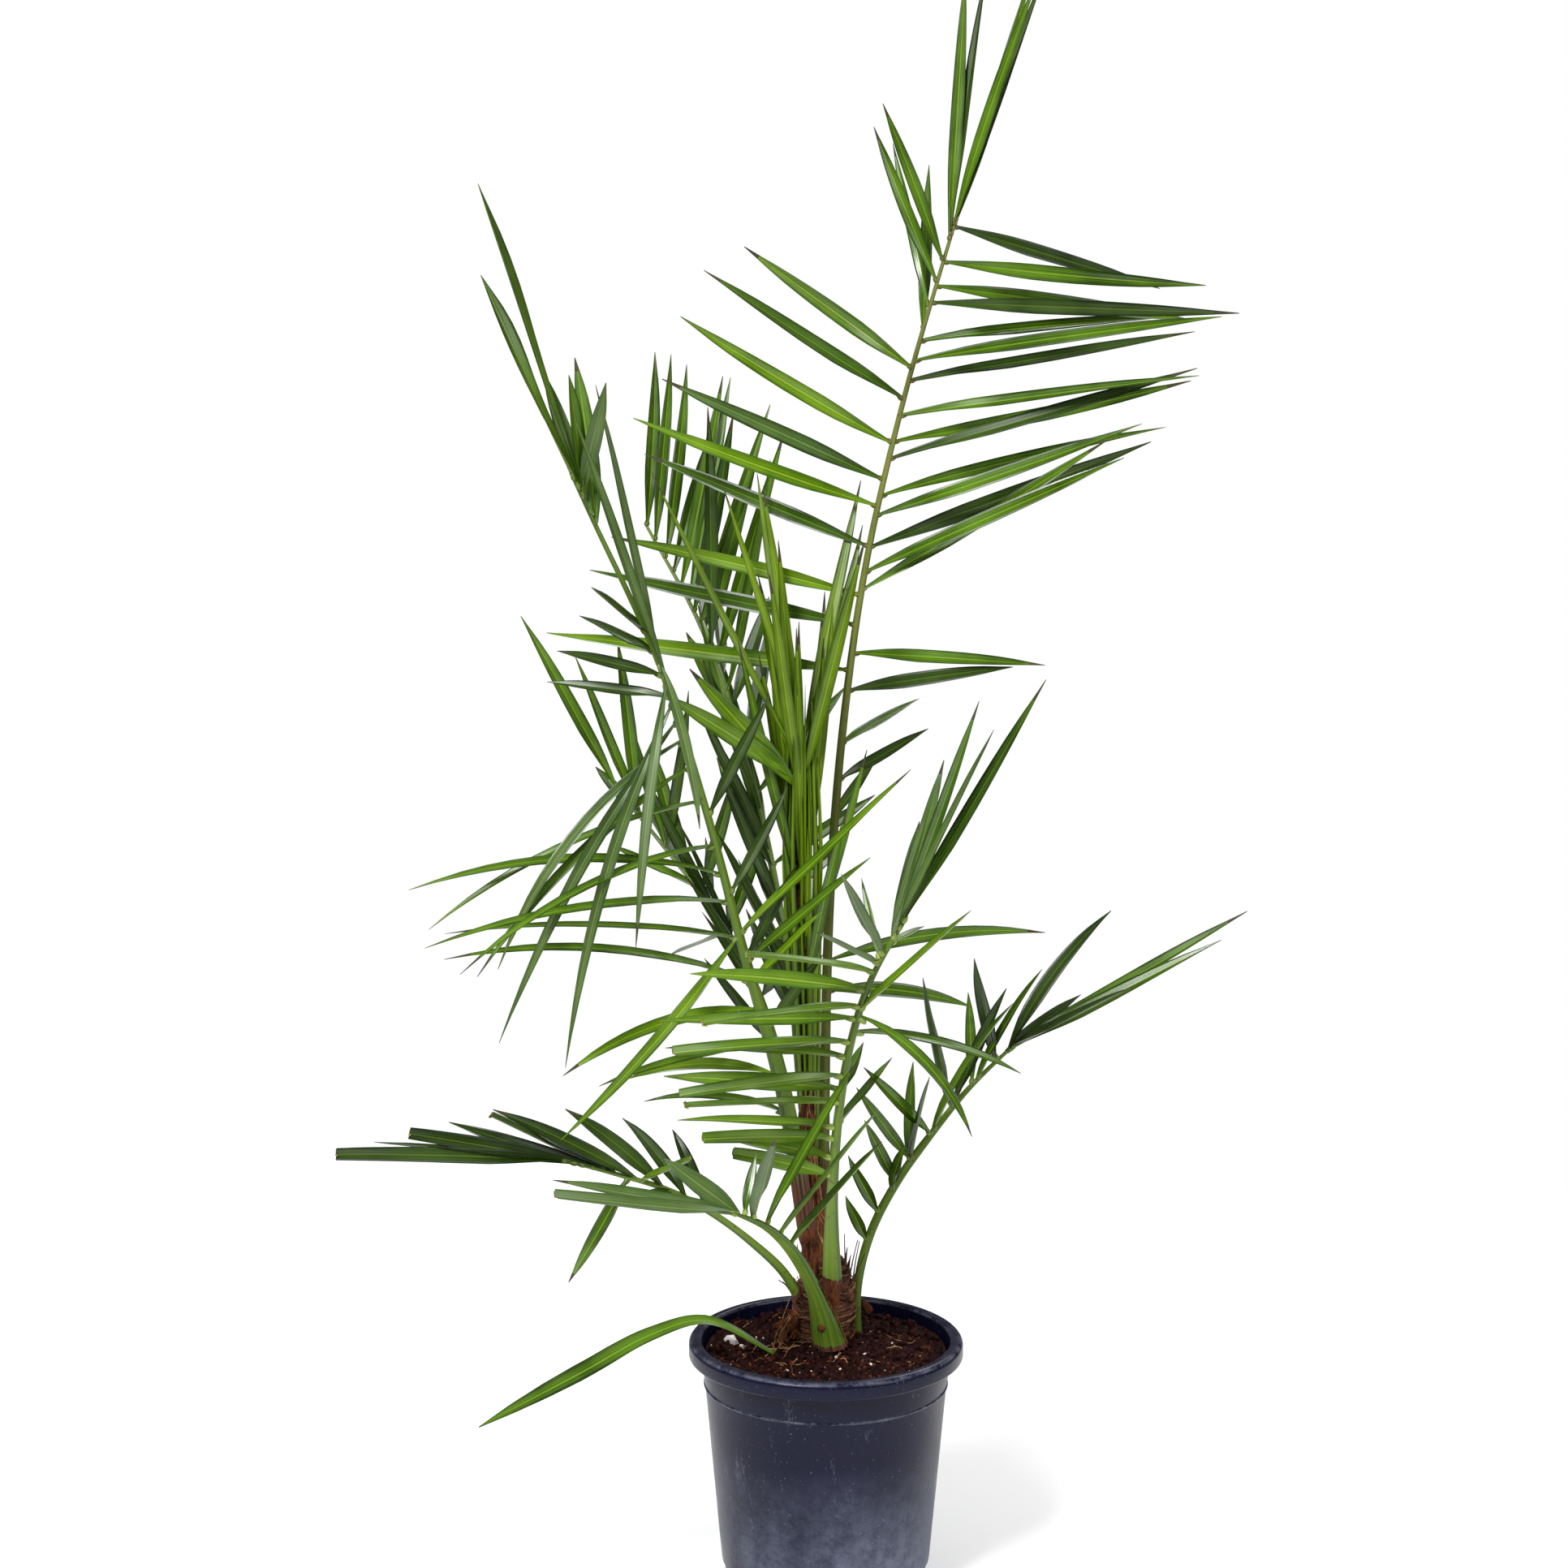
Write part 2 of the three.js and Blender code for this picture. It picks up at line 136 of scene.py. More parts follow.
FRONDS["back"] = dict(
    rib=dict(foot=(-6, 14, 240), length=530, heading=(115, 120, 130, 145), rise=(80, 75, 65, 50)),
    half=[5, 3.4, 2.6, 2, 1.1],
    face=(0.3, -0.9, 0.4),
    stalk="sheathed",
    held=(-2, 4, 214, 11),
    feet=("green", 0.8),
    needles=0.6,
    runs=[
        ("fresh", (74, 100), 9, (15, 40, 70), (75, 71, 79), (172, 158, 132), 5.2, 0, 8),
        ("fresh", (48, 70), 5, (130, 120), (56, 62, 40), (90, 145, 80), 5.6, 0, 6),
        ("mid", (80, 92), 3, (-90, -50, 40), 72, (180, 160, 125), 5.6),
        ("mid", (44, 82), 8, (58, 75, 92), (12, 22, 30), (125, 165, 145), 5.6, 0, 5),
        ("dark", (28, 56), 8, (150, 190), (62, 66), (95, 125), 4.4, 0, 16),
    ],
)
FRONDS["back_left"] = dict(
    rib=dict(foot=(-10, 10, 235), length=375, heading=(125, 130, 145, 145), rise=(80, 70, 45, 40)),
    half=[4, 2.8, 2, 1.1],
    face=(0.4, -0.8, 0.5),
    stalk="sheathed",
    held=(-5, 4, 212, 9),
    feet=("green", 0.8),
    needles=0.6,
    runs=[
        ("fresh", (75, 97), 4, (130, 160), (68, 58), (105, 140), 5.6, 0, 5),
        ("fresh", (62, 90), 4, (20, -110), (70, 77), (85, 130), 5.2, 0, 10),
        ("fresh", (62, 73), 2, (122, 138), (-25, 15), (80, 90), 5.2),
        ("mid", (48, 90), 7, (80, 108), (5, 15), (108, 125, 106), 5.6, 0, 4),
        ("dark", (38, 64), 6, (160, 190), (52, 64), (85, 110), 4, 0, 16),
    ],
)
FRONDS["front_right"] = dict(
    rib=dict(foot=(4, -20, 212), length=295, heading=(-100, -80, -60, -30), rise=(77, 74, 70, 55)),
    half=[8, 4.6, 3.4, 3, 1.6],
    face=(-0.3, -0.6, 0.7),
    stalk="green",
    held=(1, -7, 202, 11),
    feet=("pale", 1.05),
    starts=0.035,
    runs=[
        ("fresh", (69, 75), 2, (15, -15), (-15, -45), (125, 115), 4.6, 8),
        ("fresh", (44, 52), 2, (55, 70), (25, 20), (82, 68), 5),
        ("fresh", (89, 95), 2, (110, 60), (55, 5), (60, 45), 2.6),
        ("mid", (96, 100), 4, (72, 40, -15), (54, 74, 58), (88, 135, 192), 5),
        ("blue", (88, 98), 4, (235, 255, 340), (28, 50, 66), (82, 100, 150), 5.2),
        ("young", (75, 76), 1, -40, 40, 120, 5),
        ("comb_cut comb", (32, 86), 13, (178, 195, 205), (12, 1, 0, 10), (70, 118, 132, 112), 6, 1, 11),
    ],
)
FRONDS["low_right"] = dict(
    rib=dict(foot=(22, 8, 165), length=245, heading=(20, 20, 20, 20, 15), rise=(98, 76, 53, 47, 38)),
    half=[4, 3.4, 3.4, 3.2, 2.2, 1.3],
    face=(-0.3, -0.6, 0.7),
    stalk="green",
    feet=("green", 0.9),
    starts=0.033,
    runs=[
        ("dark fresh fresh dark", (98, 100), 4, (38, 6, -12, -38), (24, 31, 29, 28),
         (75, 190, 168, 110), 6),
        ("dark", (99, 100), 1, 22, 48, 122, 5.6, 4),
        ("fresh dark", (48, 86), 5, (-80, -50, -25), 60, (45, 120, 92), 5.2, 3, 8),
        ("fresh", (55, 85), 2, (82, 88), (65, 48), (74, 76), 4.2),
        ("fresh", (32, 66), 5, (212, 224, 220), (62, 44), (40, 62, 94), 4.6, 0, 3),
        ("dark", (75, 94), 2, (232, 240), 68, (106, 92), 6),
    ],
)
FRONDS["low_front"] = dict(
    rib=dict(foot=(4, -18, 172), length=180, heading=(235, 240, 240, 230), rise=(73, 55, 38, 22)),
    half=[14.8, 11.4, 7.3, 5.6, 5.5, 4.9, 4, 3.2, 1.6],
    face=(-0.2, -0.35, 0.85),
    stalk="green",
    feet=("pale", 0.9),
    starts=0.035,
    runs=[
        ("fresh", (60, 80), 3, (-38, -34), (47, 59), (120, 146), 5.6, 0, 3),
        ("fresh", (94, 95), 1, 72, 60, 41, 4),
        ("blue", (88, 89), 1, -75, 50, 97, 7),
        ("blue blue_cut blue", (97, 100), 3, (165, 210, 185), (30, 14, 11), (60, 128, 125), 7),
    ],
)
FRONDS["low_left"] = dict(
    rib=dict(foot=(-14, -8, 195), length=213, heading=(220, 205, 190, 185, 180), rise=(68, 46, 36, 19, 14)),
    half=[4.4, 4, 3, 2.6, 2, 1.3],
    face=(0.1, -0.5, 0.85),
    stalk="green",
    feet=("green", 0.9),
    starts=0.07,
    runs=[
        ("dark dark_cut", (84, 100), 6, (155, 175, 185), (22, 13, 2), (70, 115, 165), 5.6, 0, 3),
        ("dark", (53, 76), 4, (126, 186), (52, 32), (58, 108), 5.6, 4, 3),
        ("fresh", (66, 80), 2, (233, 230), (5, -40), (52, 86), 5.2),
        ("young_cut", (75, 76), 1, -60, 20, 75, 5.2),
    ],
)

SPEARS = dict(
    rib=dict(foot=(-11, 9, 262), length=378, heading=(215, 250, 285), rise=(87.5, 87.5)),
    half=[4, 9, 13, 8],
    face=(0.1, -1, 0.15),
    runs=[
        ("spear", (52, 90), 18, (150, 870), (84, 79, 72), (195, 170, 185), 4.4, 0, 20),
        ("fresh", (30, 60), 7, (180, 540), (80, 72), (130, 185), 4, 0, 20),
        ("spear", (82, 88), 2, (160, 150), (60, 70), (222, 186), 3),
        ("young", (78, 80), 2, (214, 208), (44, 32), (120, 125), 7),
    ],
)

BLADES = {
    "tall_right": ["right_fan", "right_low", "right_foot", "left_fan", "left_top", "tip"],
    "tall_left": ["tip", "upper", "side", "droop", "left_mid", "left_foot", "right_low"],
    "back": ["fan", "low", "rear"],
    "back_left": ["up", "rear"],
    "front_right": ["tip", "top", "top_back", "right", "comb", "behind"],
    "low_right": ["tip", "up", "left"],
    "low_front": ["tip", "up"],
    "low_left": ["tip", "up", "low"],
    "spears": ["crown", "fore"],
}


# ---------------- small helpers

def value_at(values, share):
    """The value at a share (0 to 1) of a list spread evenly along a route."""
    place = min(1, max(0, share)) * (len(values) - 1)
    index = min(int(place), len(values) - 2)
    return values[index] + (values[index + 1] - values[index]) * (place - index)


def mix(a, b, share):
    return a + (b - a) * min(1, max(0, share))


def direction(heading, rise):
    level = cos(radians(rise))
    turn = radians(heading)
    return Vector((level * cos(turn), level * sin(turn), sin(radians(rise))))


def grown(foot, length, heading, rise):
    """The points that a rib passes through as it grows from its foot."""
    points = [Vector(foot)]
    for step in range(RIB_STEPS):
        share = (step + 0.5) / RIB_STEPS
        aim = direction(value_at(heading, share), value_at(rise, share))
        points.append(points[-1] + aim * length / RIB_STEPS)
    return points


def in_run(values, part):
    return value_at(values, part) if isinstance(values, tuple) else values


def leaflet_rows(spec, chance):
    """The leaflets of every run, by kind, as (share, heading, rise, length, bow, half width)."""
    vary = chance.uniform
    rows = {}
    turn = STRAY["turn"]
    for kinds, stretch, count, headings, rises, lengths, half, *rest in spec["runs"]:
        bow, fan = (*rest, 0, 0)[:2]
        names = kinds.split()
        stray = min(STRAY["along"], 0.3 * (stretch[1] - stretch[0]) / count)
        for index in range(count):
            part = index / (count - 1) if count > 1 else 0.5
            apart = fan * (-1) ** index
            rows.setdefault(names[index % len(names)], []).append((
                min(100, value_at(stretch, part) + vary(-stray, stray)),
                in_run(headings, part) + apart + vary(-turn, turn),
                in_run(rises, part) + vary(-turn, turn),
                in_run(lengths, part) * vary(*STRAY["length"]),
                bow * vary(*STRAY["bow"]),
                half,
            ))
    return rows


def around(turn):
    """The level direction at an angle in radians."""
    return Vector((cos(turn), sin(turn), 0))


def square_to(along, face):
    """The part of `face` that is square to `along`, and the sideways direction that goes with it."""
    lift = face - along * face.dot(along)
    if lift.length < 0.15:
        lift = UP - along * UP.dot(along)
    lift.normalize()
    return lift, lift.cross(along)


def facing_of(spec):
    return Vector(spec["face"]).normalized()


class Route:
    """A smooth line through points in millimetres, asked for by share of its length."""

    def __init__(self, points):
        knots = [Vector(point) * MM for point in points]
        knots = [knots[0] * 2 - knots[1], *knots, knots[-1] * 2 - knots[-2]]
        self.spots = [knots[1].copy()]
        for a, b, c, d in zip(knots, knots[1:], knots[2:], knots[3:]):
            for step in range(1, FINENESS + 1):
                t = step / FINENESS
                bend = (2 * a - 5 * b + 4 * c - d) * t * t + (3 * b - a - 3 * c + d) * t ** 3
                self.spots.append(0.5 * (2 * b + (c - a) * t + bend))
        self.run = [0.0]
        for near, far in zip(self.spots, self.spots[1:]):
            self.run.append(self.run[-1] + (far - near).length)
        self.length = self.run[-1]

    def at(self, share):
        goal = min(1, max(0, share)) * self.length
        index = 0
        while index < len(self.run) - 2 and self.run[index + 1] < goal:
            index += 1
        part = (goal - self.run[index]) / (self.run[index + 1] - self.run[index])
        return self.spots[index].lerp(self.spots[index + 1], part)

    def along(self, share):
        return (self.at(min(1, share + 0.02)) - self.at(max(0, share - 0.02))).normalized()

    def frame(self, share, facing):
        return (self.at(share), *square_to(self.along(share), facing))


def unit_tube(sides, rings, made={}):
    """A closed unit tube along Z, from 0 to 1. Limbs and leaflets are shaped from copies of it."""
    if (sides, rings) not in made:
        bm = bmesh.new()
        turned = Matrix.Translation((0, 0, 0.5)) @ Matrix.Rotation(pi / 2, 4, "Z")
        bmesh.ops.create_cone(bm, cap_ends=True, segments=sides, radius1=1, radius2=1, depth=1,
                              matrix=turned)
        upright = [e for e in bm.edges if abs(e.verts[0].co.z - e.verts[1].co.z) > 0.5]
        bmesh.ops.subdivide_edges(bm, edges=upright, cuts=rings - 1)
        made[sides, rings] = bpy.data.meshes.new("tube")
        bm.to_mesh(made[sides, rings])
        bm.free()
    return made[sides, rings]


def sweep(bm, sides, rings, frame_at, section, length, two_faced=False):
    """Adds a limb: each ring of a unit tube goes to frame_at(share), with the outline of `section`."""
    lie = bm.loops.layers.uv.verify()
    first_vert, first_face = len(bm.verts), len(bm.faces)
    bm.from_mesh(unit_tube(sides, rings))
    bm.verts.ensure_lookup_table()
    bm.faces.ensure_lookup_table()
    for face in bm.faces[first_face:]:
        face.smooth = True
        face.material_index = 1 if two_faced and face.calc_center_median().y < -0.01 else 0
        for loop in face.loops:
            loop[lie].uv = (0.5 + 0.5 * loop.vert.co.x, loop.vert.co.z * length)
    frames = {}
    for vert in bm.verts[first_vert:]:
        share = round(vert.co.z, 4)
        if share not in frames:
            frames[share] = frame_at(share)
        spot, lift, side = frames[share]
        x, y = section(share, vert.co.x, vert.co.y)
        vert.co = spot + side * x + lift * y
    return bm.faces[first_face:]


def piece(name, bm, finishes, stands_for, crease=35):
    """Turns a bmesh into a finished piece that rides on the plant and stands for its solids."""
    for edge in bm.edges:
        edge.smooth = len(edge.link_faces) == 2 and edge.calc_face_angle(0) < radians(crease)
    mesh = bpy.data.meshes.new(name)
    bm.to_mesh(mesh)
    bm.free()
    for finish in finishes:
        mesh.materials.append(finish)
    thing = bpy.data.objects.new(name, mesh)
    bpy.context.scene.collection.objects.link(thing)
    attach(thing, "root")
    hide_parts(*stands_for)
    return thing


# ---------------- finishes

def shade(red, green, blue):
    """A colour in everyday 0 to 255 values, as the linear values that shaders take."""
    linear = [c / 12.92 if c <= 0.04045 else ((c + 0.055) / 1.055) ** 2.4
              for c in (red / 255, green / 255, blue / 255)]
    return (*linear, 1)


def node(tree, kind, inputs=None, **settings):
    made = tree.nodes.new(kind)
    for key, value in settings.items():
        setattr(made, key, value)
    for key, value in (inputs or {}).items():
        if isinstance(value, bpy.types.NodeSocket):
            tree.links.new(value, made.inputs[key])
        else:
            made.inputs[key].default_value = value
    return made


def start(name, roughness=0.5, **sockets):
    """A new finish: its node tree and its shader."""
    material = bpy.data.materials.new(name)
    material.use_nodes = True
    tree = material.node_tree
    shader = tree.nodes["Principled BSDF"]
    shader.inputs["Roughness"].default_value = roughness
    for key, value in sockets.items():
        shader.inputs[key.replace("_", " ")].default_value = value
    return material, tree, shader


def in_solid(tree):
    return node(tree, "ShaderNodeTexCoord").outputs["Object"]


def tinted(tree, factor, low, high):
    """A colour between two, by a factor that may be a socket."""
    made = node(tree, "ShaderNodeMix", {0: factor, 6: low, 7: high}, data_type="RGBA")
    return made.outputs[2]


def grain(tree, place, scale, stretch=(1, 1, 1), detail=3, roughness=0.6):
    """Noise of a given scale, drawn out by `stretch`."""
    spread = node(tree, "ShaderNodeMapping", {"Vector": place, "Scale": stretch})
    made = node(tree, "ShaderNodeTexNoise", {
        "Vector": spread.outputs[0], "Scale": scale, "Detail": detail, "Roughness": roughness,
    })
    return made.outputs[0]


def ramped(tree, value, low, high, to_low=0.0, to_high=1.0):
    made = node(tree, "ShaderNodeMapRange", {
        "Value": value, "From Min": low, "From Max": high, "To Min": to_low, "To Max": to_high,
    })
    return made.outputs[0]


def sums(tree, how, a, b=0.0):
    return node(tree, "ShaderNodeMath", {0: a, 1: b}, operation=how).outputs[0]


def away(tree, value, middle):
    return sums(tree, "ABSOLUTE", sums(tree, "SUBTRACT", value, middle))


def blend(tree, a, b, share):
    return sums(tree, "ADD", sums(tree, "MULTIPLY", a, 1 - share), sums(tree, "MULTIPLY", b, share))


def bumped(tree, shader, height, distance, strength=0.5):
    made = node(tree, "ShaderNodeBump", {"Height": height, "Distance": distance, "Strength": strength})
    tree.links.new(made.outputs[0], shader.inputs["Normal"])


def leaf_finish(name, deep, light, midrib, rough):
    """Leaf skin: long fine veins, soft patches, a paler midrib, a darker margin, and a waxy gloss."""
    material, tree, shader = start(name, rough, Specular_IOR_Level=0.42)
    lie = node(tree, "ShaderNodeUVMap").outputs[0]
    solid = in_solid(tree)
    veins = grain(tree, lie, 1, (16, 3, 1), 2)
    folds = grain(tree, lie, 1, (5, 2, 1), 1)
    patches = grain(tree, solid, 16, detail=3)
    tone = blend(tree, veins, patches, 0.5)
    across = node(tree, "ShaderNodeSeparateXYZ", {0: lie}).outputs[0]
    off_middle = away(tree, across, 0.5)
    tone = sums(tree, "SUBTRACT", tone, ramped(tree, off_middle, 0.22, 0.5, 0.0, 0.13))
    skin = tinted(tree, ramped(tree, tone, 0.34, 0.6), deep, light)
    skin = tinted(tree, ramped(tree, off_middle, 0.02, 0.06, 0.4, 0.0), skin, midrib)
    tree.links.new(skin, shader.inputs["Base Color"])
    tree.links.new(ramped(tree, patches, 0.3, 0.7, rough - 0.06, rough + 0.12), shader.inputs["Roughness"])
    bumped(tree, shader, folds, 0.0003, 0.35)
    return material


def stalk_finish(name, deep, light, scar, rough=0.38, sheathed=0.004):
    """Smooth leaf stalk: long pale streaks, darker edges, brown scars, and a dry brown foot."""
    material, tree, shader = start(name, rough)
    lie = node(tree, "ShaderNodeUVMap").outputs[0]
    solid = in_solid(tree)
    across, run, _ = node(tree, "ShaderNodeSeparateXYZ", {0: lie}).outputs
    streaks = grain(tree, lie, 1, (14, 6, 1), 3)
    specks = grain(tree, solid, 260, detail=1)
    patches = grain(tree, solid, 14, detail=2)
    tone = blend(tree, streaks, patches, 0.4)
    edge = away(tree, across, 0.5)
    tone = sums(tree, "SUBTRACT", tone, ramped(tree, edge, 0.25, 0.5, 0.0, 0.16))
    skin = tinted(tree, ramped(tree, tone, 0.26, 0.62), deep, light)
    skin = tinted(tree, ramped(tree, specks, 0.68, 0.74, 0.0, 0.7), skin, scar)
    ragged = sums(tree, "ADD", run, ramped(tree, streaks, 0.3, 0.7, -0.35 * sheathed, 0.35 * sheathed))
    bark = tinted(tree, ramped(tree, streaks, 0.35, 0.62), shade(22, 10, 6), shade(116, 70, 44))
    skin = tinted(tree, ramped(tree, ragged, sheathed * 0.8, sheathed * 1.1, 1.0, 0.0), skin, bark)
    tree.links.new(skin, shader.inputs["Base Color"])
    dry = ramped(tree, ragged, sheathed * 0.8, sheathed * 1.1, 0.4, 0.0)
    smooth = ramped(tree, patches, 0.3, 0.7, rough - 0.06, rough + 0.14)
    tree.links.new(sums(tree, "ADD", smooth, dry), shader.inputs["Roughness"])
    bumped(tree, shader, streaks, 0.0005, 0.4)
    return material


def fibre_finish(name, deep, light, scale=(60, 60, 12)):
    """Dry sheath and stem fibre: matted strands of varied tone, with painted shade making them dark in the
    gaps.
    """
    material, tree, shader = start(name, 0.82, Specular_IOR_Level=0.2)
    solid = in_solid(tree)
    strands = grain(tree, solid, 9, scale, 4, 0.7)
    patches = grain(tree, solid, 60, detail=3)
    tone = blend(tree, strands, patches, 0.4)
    # The deep colour follows the low parts of the strands' bump, so the gaps between strands carry painted
    # shade as well as the fibre's own change of tone.
    tree.links.new(tinted(tree, ramped(tree, tone, 0.41, 0.6), deep, light), shader.inputs["Base Color"])
    bumped(tree, shader, strands, 0.0018, 0.9)
    return material


def crumb_finish(name, deep, light, rough=0.9, scale=240):
    """Peat, bark and perlite: rough, with a fine change of tone."""
    material, tree, shader = start(name, rough, Specular_IOR_Level=0.15)
    solid = in_solid(tree)
    spots = grain(tree, solid, scale, detail=4, roughness=0.7)
    tree.links.new(tinted(tree, ramped(tree, spots, 0.36, 0.66), deep, light), shader.inputs["Base Color"])
    bumped(tree, shader, spots, 0.001, 0.8)
    return material


def pot_finish():
    """Blue-black nursery pot: moulded plastic, worn pale on its collar ridge, with a painted sheen along
    the top of its lip, and dusty toward the foot.
    """
    material, tree, shader = start("pot_plastic", 0.3, Specular_IOR_Level=0.18)
    solid = in_solid(tree)
    height = node(tree, "ShaderNodeSeparateXYZ", {0: solid}).outputs[2]
    clouds = grain(tree, solid, 11, (1, 1, 0.8), 6, 0.7)
    mottle = grain(tree, solid, 90, detail=6, roughness=0.8)
    scratches = grain(tree, solid, 60, (1.0, 1.0, 0.25), 5, 0.85)
    low = ramped(tree, height, 0.11, 0.03)
    dust = sums(tree, "MULTIPLY", low, ramped(tree, clouds, 0.36, 0.6, 0.1, 0.9))
    dust = sums(tree, "MULTIPLY", dust, ramped(tree, mottle, 0.3, 0.62, 0.15, 0.75))
    scuffs = ramped(tree, scratches, 0.61, 0.69, 0.0, 0.3)
    specks = ramped(tree, grain(tree, solid, 620, detail=1), 0.73, 0.78, 0.0, 0.6)
    scuffs = sums(tree, "MAXIMUM", scuffs, specks)
    ridge = away(tree, height, 0.143)
    # The thin pale line on the upper shoulder of the lip is a painted sheen. The pale line on the collar
    # ridge is wear.
    lip_sheen_line = away(tree, height, 0.1738)
    wear_and_sheen = sums(tree, "MAXIMUM", ramped(tree, ridge, 0.0004, 0.0016, 1.0, 0.0),
                ramped(tree, lip_sheen_line, 0.0002, 0.0014, 1.0, 0.0))
    wear_and_sheen = sums(tree, "MULTIPLY", wear_and_sheen, ramped(tree, mottle, 0.4, 0.62, 0.0, 0.5))
    skin = tinted(tree, clouds, shade(6, 6, 22), shade(20, 21, 52))
    skin = tinted(tree, dust, skin, shade(118, 124, 142))
    skin = tinted(tree, sums(tree, "MAXIMUM", scuffs, wear_and_sheen), skin, shade(124, 126, 142))
    tree.links.new(skin, shader.inputs["Base Color"])
    tree.links.new(ramped(tree, sums(tree, "ADD", clouds, dust), 0.3, 1.2, 0.2, 0.6),
                   shader.inputs["Roughness"])
    bumped(tree, shader, sums(tree, "ADD", clouds, mottle), 0.0006, 0.3)
    return material


def leaf_pair(kind, rough, upper, under):
    """The upper and the lower face of one kind of leaflet."""
    return (leaf_finish(f"leaf_{kind}", *(shade(*tone) for tone in upper), rough),
            leaf_finish(f"leaf_{kind}_under", *(shade(*tone) for tone in under), rough + 0.12))


LEAF_SKINS = {kind: leaf_pair(kind, rough, upper, under) for kind, rough, upper, under in (
    ("fresh", 0.26, [(30, 54, 3), (88, 126, 14), (150, 180, 48)],
     [(52, 76, 16), (102, 130, 44), (148, 168, 74)]),
    ("mid", 0.3, [(26, 48, 4), (70, 104, 14), (120, 148, 40)],
     [(44, 66, 18), (84, 108, 42), (122, 140, 66)]),
    ("dark", 0.31, [(19, 36, 4), (57, 83, 14), (98, 122, 36)],
     [(37, 52, 18), (74, 94, 40), (110, 124, 62)]),
    ("blue", 0.3, [(48, 74, 28), (94, 119, 58), (138, 155, 88)],
     [(66, 88, 52), (110, 131, 84), (146, 160, 112)]),
    ("young", 0.24, [(52, 86, 2), (112, 148, 14), (168, 190, 50)],
     [(72, 98, 14), (120, 146, 40), (160, 176, 70)]),
    ("comb", 0.28, [(54, 88, 8), (112, 147, 32), (186, 205, 90)],
     [(70, 100, 24), (122, 149, 56), (176, 192, 98)]),
    ("spear", 0.3, [(54, 80, 2), (110, 140, 14), (152, 174, 48)],
     [(58, 82, 4), (114, 138, 24), (142, 164, 56)]),
)}
STALK_SKINS = {
    "green": stalk_finish("leaf_stalk", shade(44, 78, 8), shade(122, 150, 46), shade(84, 72, 30)),
    "sheathed": stalk_finish("leaf_stalk_sheathed", shade(44, 72, 8), shade(112, 142, 40),
                             shade(84, 72, 30), sheathed=0.058),
    "olive": stalk_finish("leaf_stalk_olive", shade(48, 54, 8), shade(118, 126, 48), shade(84, 54, 22),
                          sheathed=0.06),
}
FOOT_SKINS = {
    name: stalk_finish(f"leaf_foot_{name}", *(shade(*tone) for tone in tones), 0.45, 0.0003)
    for name, tones in (
        ("green", [(66, 88, 20), (126, 146, 62), (104, 74, 34)]),
        ("olive", [(70, 60, 18), (128, 112, 54), (92, 60, 28)]),
        ("pale", [(104, 130, 40), (168, 188, 92), (120, 90, 44)]),
    )
}
NEEDLE_SKIN = stalk_finish("dry_tip", shade(26, 28, 6), shade(72, 68, 24), shade(56, 42, 16), 0.55, 0.0003)
CUT_SKIN = crumb_finish("leaf_cut_end", shade(92, 84, 44), shade(156, 146, 92), 0.8)
STEM_SKIN = fibre_finish("stem_fibre", shade(24, 9, 5), shade(122, 76, 54), (14, 14, 60))
STEM_THREAD_SKIN = fibre_finish("stem_thread", shade(58, 30, 20), shade(168, 122, 90), (20, 20, 60))
SHEATH_SKIN = fibre_finish("sheath_fibre", shade(34, 12, 6), shade(126, 70, 38))
THREAD_SKIN = fibre_finish("thread_fibre", shade(112, 62, 30), shade(198, 156, 104), (30, 30, 30))
PEAT_SKIN = crumb_finish("peat", shade(8, 2, 2), shade(52, 19, 15))
CRUMB_SKIN = crumb_finish("peat_crumb", shade(22, 7, 5), shade(104, 50, 34))
PERLITE_SKIN = crumb_finish("perlite", shade(196, 186, 178), shade(244, 240, 234), 0.7)


# ---------------- fronds

def limb(bm, route, half, face, sides=12, rings=40, flat=0.8, top=0.55, first=0.0, last=1.0):
    """A tapering stalk: round below, and flatter above, like a shallow D."""
    facing = Vector(face).normalized()

    def frame_at(share):
        return route.frame(mix(first, last, share), facing)

    def section(share, across, lift):
        reach = value_at(half, mix(first, last, share)) * MM
        return across * reach, lift * reach * (top if lift > 0 else flat)

    sweep(bm, sides, rings, frame_at, section, route.length * (last - first))


